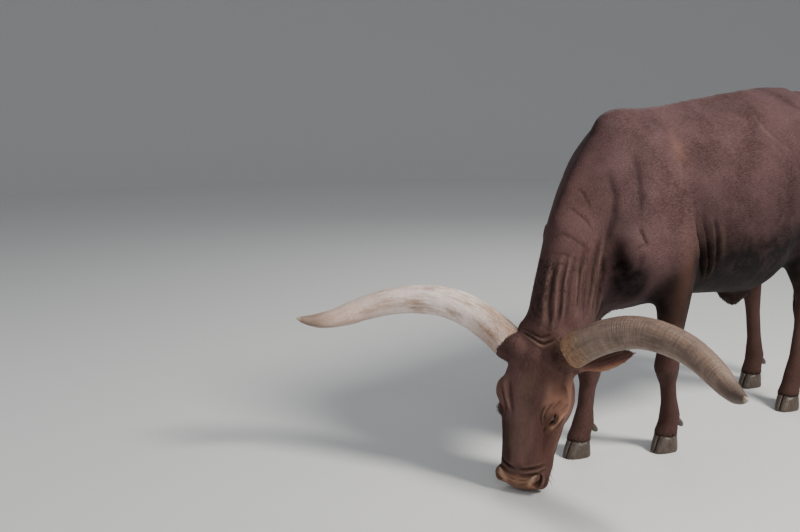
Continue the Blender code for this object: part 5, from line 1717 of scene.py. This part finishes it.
def hair_material(name, tint, roughness=0.5):
    """Hair in the coat's colours, drawn towards a tint, lighter at its tips."""
    made, tree, shader = node_tree(name)
    colour = mixed(tree, tint[3], coat_colour(tree), tint[:3])
    lit = maths(tree, "SUBTRACT", 1.0, attribute(tree, "dark"))
    tip = times(tree, attribute(tree, "tip"), lit)
    colour = mixed(tree, times(tree, tip, TIP_SHARE), colour, COAT_LIGHT)
    tree.links.new(colour, shader.inputs["Base Color"])
    shader.inputs["Roughness"].default_value = roughness
    shader.inputs["Specular IOR Level"].default_value = 0.07
    return made


def horn_material(name, word):
    """Keratin laid out along the horn: a rough orange base, rings, fibres, and a dark tip with a pale end."""
    made, tree, shader = node_tree(name)
    straight = attribute(tree, "straight", "Vector")
    share = attribute(tree, "share")
    left = word == "left"
    main = (0.175, 0.110, 0.076) if left else (0.760, 0.610, 0.560)
    second = (0.098, 0.062, 0.047) if left else (0.360, 0.230, 0.165)
    pale = (0.270, 0.195, 0.155) if left else (0.920, 0.860, 0.830)
    blotch = ranged(tree, noise_of(tree, mapped(tree, straight, (9, 26, 26)), 1.0, 4.0, 0.6), 0.38, 0.66)
    colour = mixed(tree, blotch, main, second)
    fibres = ranged(tree, noise_of(tree, mapped(tree, straight, (14, 190, 190)), 1.0, 3.0, 0.6), 0.35, 0.75)
    colour = mixed(tree, times(tree, fibres, 0.55), colour, pale)
    rings = ranged(tree, noise_of(tree, mapped(tree, straight, (240, 9, 9)), 1.0, 3.0, 0.55), 0.45, 0.72)
    ringed = ranged(tree, share, 0.45, 0.80, 0.75 if left else 0.20, 0.10)
    colour = mixed(tree, times(tree, rings, ringed), colour, second)
    patches = ranged(tree, noise_of(tree, mapped(tree, straight, (16, 30, 30)), 1.0, 5.0, 0.75), 0.60, 0.68)
    colour = mixed(tree, times(tree, patches, 0.35), colour, (0.110, 0.062, 0.038))
    base = ranged(tree, share, 0.012, 0.070 if left else 0.150, 1.0, 0.0)
    crumbs = ranged(tree, noise_of(tree, mapped(tree, straight, (150, 170, 170)), 1.0, 4.0, 0.7), 0.35, 0.65)
    rim = mixed(tree, crumbs, (0.125, 0.056, 0.024), (0.360, 0.190, 0.090))
    colour = mixed(tree, times(tree, base, 0.80 if left else 0.60), colour, rim)
    outer = ranged(tree, share, 0.30, 0.78, 0.0, 0.15 if left else 0.66)
    colour = mixed(tree, outer, colour, (0.120, 0.080, 0.060) if left else (0.470, 0.310, 0.235))
    tip = ranged(tree, share, 0.80, 0.955, 0.0, 0.80)
    colour = mixed(tree, tip, colour, (0.060, 0.038, 0.028) if left else (0.130, 0.075, 0.045))
    end = ranged(tree, share, 0.985, 0.997, 0.0, 0.9)
    colour = mixed(tree, end, colour, (0.420, 0.330, 0.240))
    tree.links.new(colour, shader.inputs["Base Color"])
    normal = bump(tree, rings, 0.0022, 0.75 if left else 0.25)
    normal = bump(tree, fibres, 0.0008, 0.30, normal)
    flakes = times(tree, crumbs, maths(tree, "ADD", times(tree, base, 0.85), 0.15))
    normal = bump(tree, flakes, 0.0040, 0.60, normal)
    tree.links.new(normal, shader.inputs["Normal"])
    rough = ranged(tree, blotch, 0.0, 1.0, 0.42 if left else 0.30, 0.58 if left else 0.44)
    tree.links.new(rough, shader.inputs["Roughness"])
    shader.inputs["Specular IOR Level"].default_value = 0.5
    return made


def hoof_material():
    """Dark hoof horn with growth rings, dried mud on its lower half and in its cleft."""
    made, tree, shader = node_tree("hoof")
    where = position(tree)
    streaks = noise_of(tree, mapped(tree, where, (220, 220, 40)), 1.0, 3.0, 0.6)
    colour = mixed(tree, ranged(tree, streaks, 0.35, 0.7), (0.030, 0.021, 0.016), (0.074, 0.050, 0.036))
    rings = noise_of(tree, mapped(tree, where, (12, 12, 520)), 1.0, 2.0)
    colour = mixed(tree, ranged(tree, rings, 0.45, 0.7, 0.0, 0.5), colour, (0.035, 0.026, 0.022))
    mud = ranged(tree, noise_of(tree, where, 55.0, 5.0, 0.7), 0.50, 0.66)
    colour = mixed(tree, times(tree, mud, 0.45), colour, (0.098, 0.070, 0.050))
    tree.links.new(colour, shader.inputs["Base Color"])
    normal = bump(tree, rings, 0.0015, 0.5)
    normal = bump(tree, mud, 0.0016, 0.6, normal)
    normal = bump(tree, streaks, 0.0006, 0.3, normal)
    tree.links.new(normal, shader.inputs["Normal"])
    tree.links.new(ranged(tree, mud, 0, 1, 0.42, 0.85), shader.inputs["Roughness"])
    return made


def eye_material():
    """A dark brown iris round a wide pupil, a bluish rim, and a wet surface."""
    made, tree, shader = node_tree("eye")
    gaze = attribute(tree, "gaze", "Vector")
    split = tree.nodes.new("ShaderNodeSeparateXYZ")
    tree.links.new(gaze, split.inputs[0])
    x, y = split.outputs[0], split.outputs[1]
    square = maths(tree, "ADD", times(tree, x, x), times(tree, y, y))
    distance = maths(tree, "SQRT", square, 0.0)
    wide = times(tree, x, 0.55)
    pupil_square = maths(tree, "ADD", times(tree, wide, wide), times(tree, y, y))
    pupil = ranged(tree, maths(tree, "SQRT", pupil_square, 0.0), 0.20, 0.26, 1.0, 0.0)
    fibres = noise_of(tree, mapped(tree, gaze, (30, 30, 4)), 1.0, 3.0)
    iris = mixed(tree, ranged(tree, fibres, 0.3, 0.7), (0.030, 0.014, 0.008), (0.075, 0.034, 0.016))
    colour = mixed(tree, pupil, iris, (0.004, 0.004, 0.006))
    white = ranged(tree, distance, 0.66, 0.74)
    colour = mixed(tree, white, colour, (0.160, 0.105, 0.090))
    tree.links.new(colour, shader.inputs["Base Color"])
    shader.inputs["Roughness"].default_value = 0.10
    shader.inputs["Specular IOR Level"].default_value = 0.6
    shader.inputs["Coat Weight"].default_value = 1.0
    shader.inputs["Coat Roughness"].default_value = 0.03
    return made


# Stage


STAGE_RADIUS = 17.0
STAGE_HEIGHT = 9.0
FLAT_SHARE = 0.55


def stage():
    """A pale floor that curves up into a wall all round."""
    flat, bend = STAGE_RADIUS * FLAT_SHARE, STAGE_RADIUS * (1 - FLAT_SHARE)
    profile = [(0.0, 0.0), (flat, 0.0)]
    for k in range(13):
        angle = math.pi / 2 * k / 12
        profile.append((flat + bend * math.sin(angle), bend * (1 - math.cos(angle))))
    profile.append((STAGE_RADIUS, STAGE_HEIGHT))
    count = 96
    points, faces = [(0.0, 0.0, 0.0)], []
    for radius, height in profile[1:]:
        for i in range(count):
            angle = 2 * math.pi * i / count
            points.append((radius * math.cos(angle), radius * math.sin(angle), height))
    for i in range(count):
        faces.append((0, 1 + i, 1 + (i + 1) % count))
    for k in range(len(profile) - 2):
        for i in range(count):
            j = (i + 1) % count
            a, b = 1 + k * count, 1 + (k + 1) * count
            faces.append((a + i, b + i, b + j, a + j))
    made = mesh_object("floor", points, faces)
    made.data.materials.append(plain("pale_floor", (0.60, 0.60, 0.59), 0.9))
    smooth_shaded(made)


def lamp(name, at, aim, size, power, colour=(1, 1, 1)):
    light = bpy.data.lights.new(name, "AREA")
    light.shape = "DISK"
    light.size = size
    light.energy = power
    light.color = colour
    made = bpy.data.objects.new(name, light)
    made.location = at
    made.rotation_euler = (Vector(aim) - Vector(at)).to_track_quat("-Z", "Y").to_euler()
    bpy.context.scene.collection.objects.link(made)


CAMERA_PLACE = Vector((3.746, 2.704, 1.575))
CAMERA_TURN = math.radians(45.9)
CAMERA_DIP = math.radians(10.44)
CAMERA_LENS = 56.25
# Where the head's frame begins in the axes that the camera's place is given in
HEAD_PLACE = Vector((0.493, 0.020, 0.541))


def camera():
    """The photograph's view, a little above the animal and in front of it on its left."""
    level = Vector((-math.cos(CAMERA_TURN), -math.sin(CAMERA_TURN), 0))
    along = level * math.cos(CAMERA_DIP) - Vector((0, 0, math.sin(CAMERA_DIP)))
    data = bpy.data.cameras.new("camera")
    data.lens = CAMERA_LENS
    data.sensor_width = 36
    made = bpy.data.objects.new("camera", data)
    origin = HEAD.translation - HEAD_PLACE
    made.location = CAMERA_PLACE + Vector((origin.x, origin.y, 0))
    made.rotation_euler = along.to_track_quat("-Z", "Y").to_euler()
    bpy.context.scene.collection.objects.link(made)
    bpy.context.scene.camera = made


def world():
    made = bpy.data.worlds.new("studio")
    bpy.context.scene.world = made
    made.use_nodes = True
    shade = made.node_tree.nodes["Background"]
    shade.inputs["Color"].default_value = (0.80, 0.86, 0.95, 1)
    shade.inputs["Strength"].default_value = 0.30


def main():
    skin = build_skin()
    skin.data.materials.clear()
    points = places(skin.data)
    masks = region_masks(points)
    paint(skin.data, masks)
    paint(skin.data, {"upright": uprightness(points)})
    skin.data.materials.append(skin_material())
    finish_piece(skin, "coat", *FLESH)
    for side, word in SIDES:
        make_horn(side, word)
        make_eye(side, word)
    make_hooves()
    make_coat(skin, masks)
    make_switch()
    stage()
    lamp("key", (-0.3, 3.8, 4.4), (0.1, 0, 0.8), 1.5, 520, (1.0, 0.97, 0.92))
    lamp("front", (4.6, 3.6, 2.8), (0.3, 0, 0.6), 3.0, 85, (1.0, 0.98, 0.96))
    lamp("fill", (4.0, -3.2, 2.0), (0.3, 0, 0.6), 3.0, 34, (0.90, 0.95, 1.0))
    lamp("back", (-3.0, -2.6, 3.6), (-0.2, 0, 0.9), 2.5, 60)
    world()
    camera()


main()
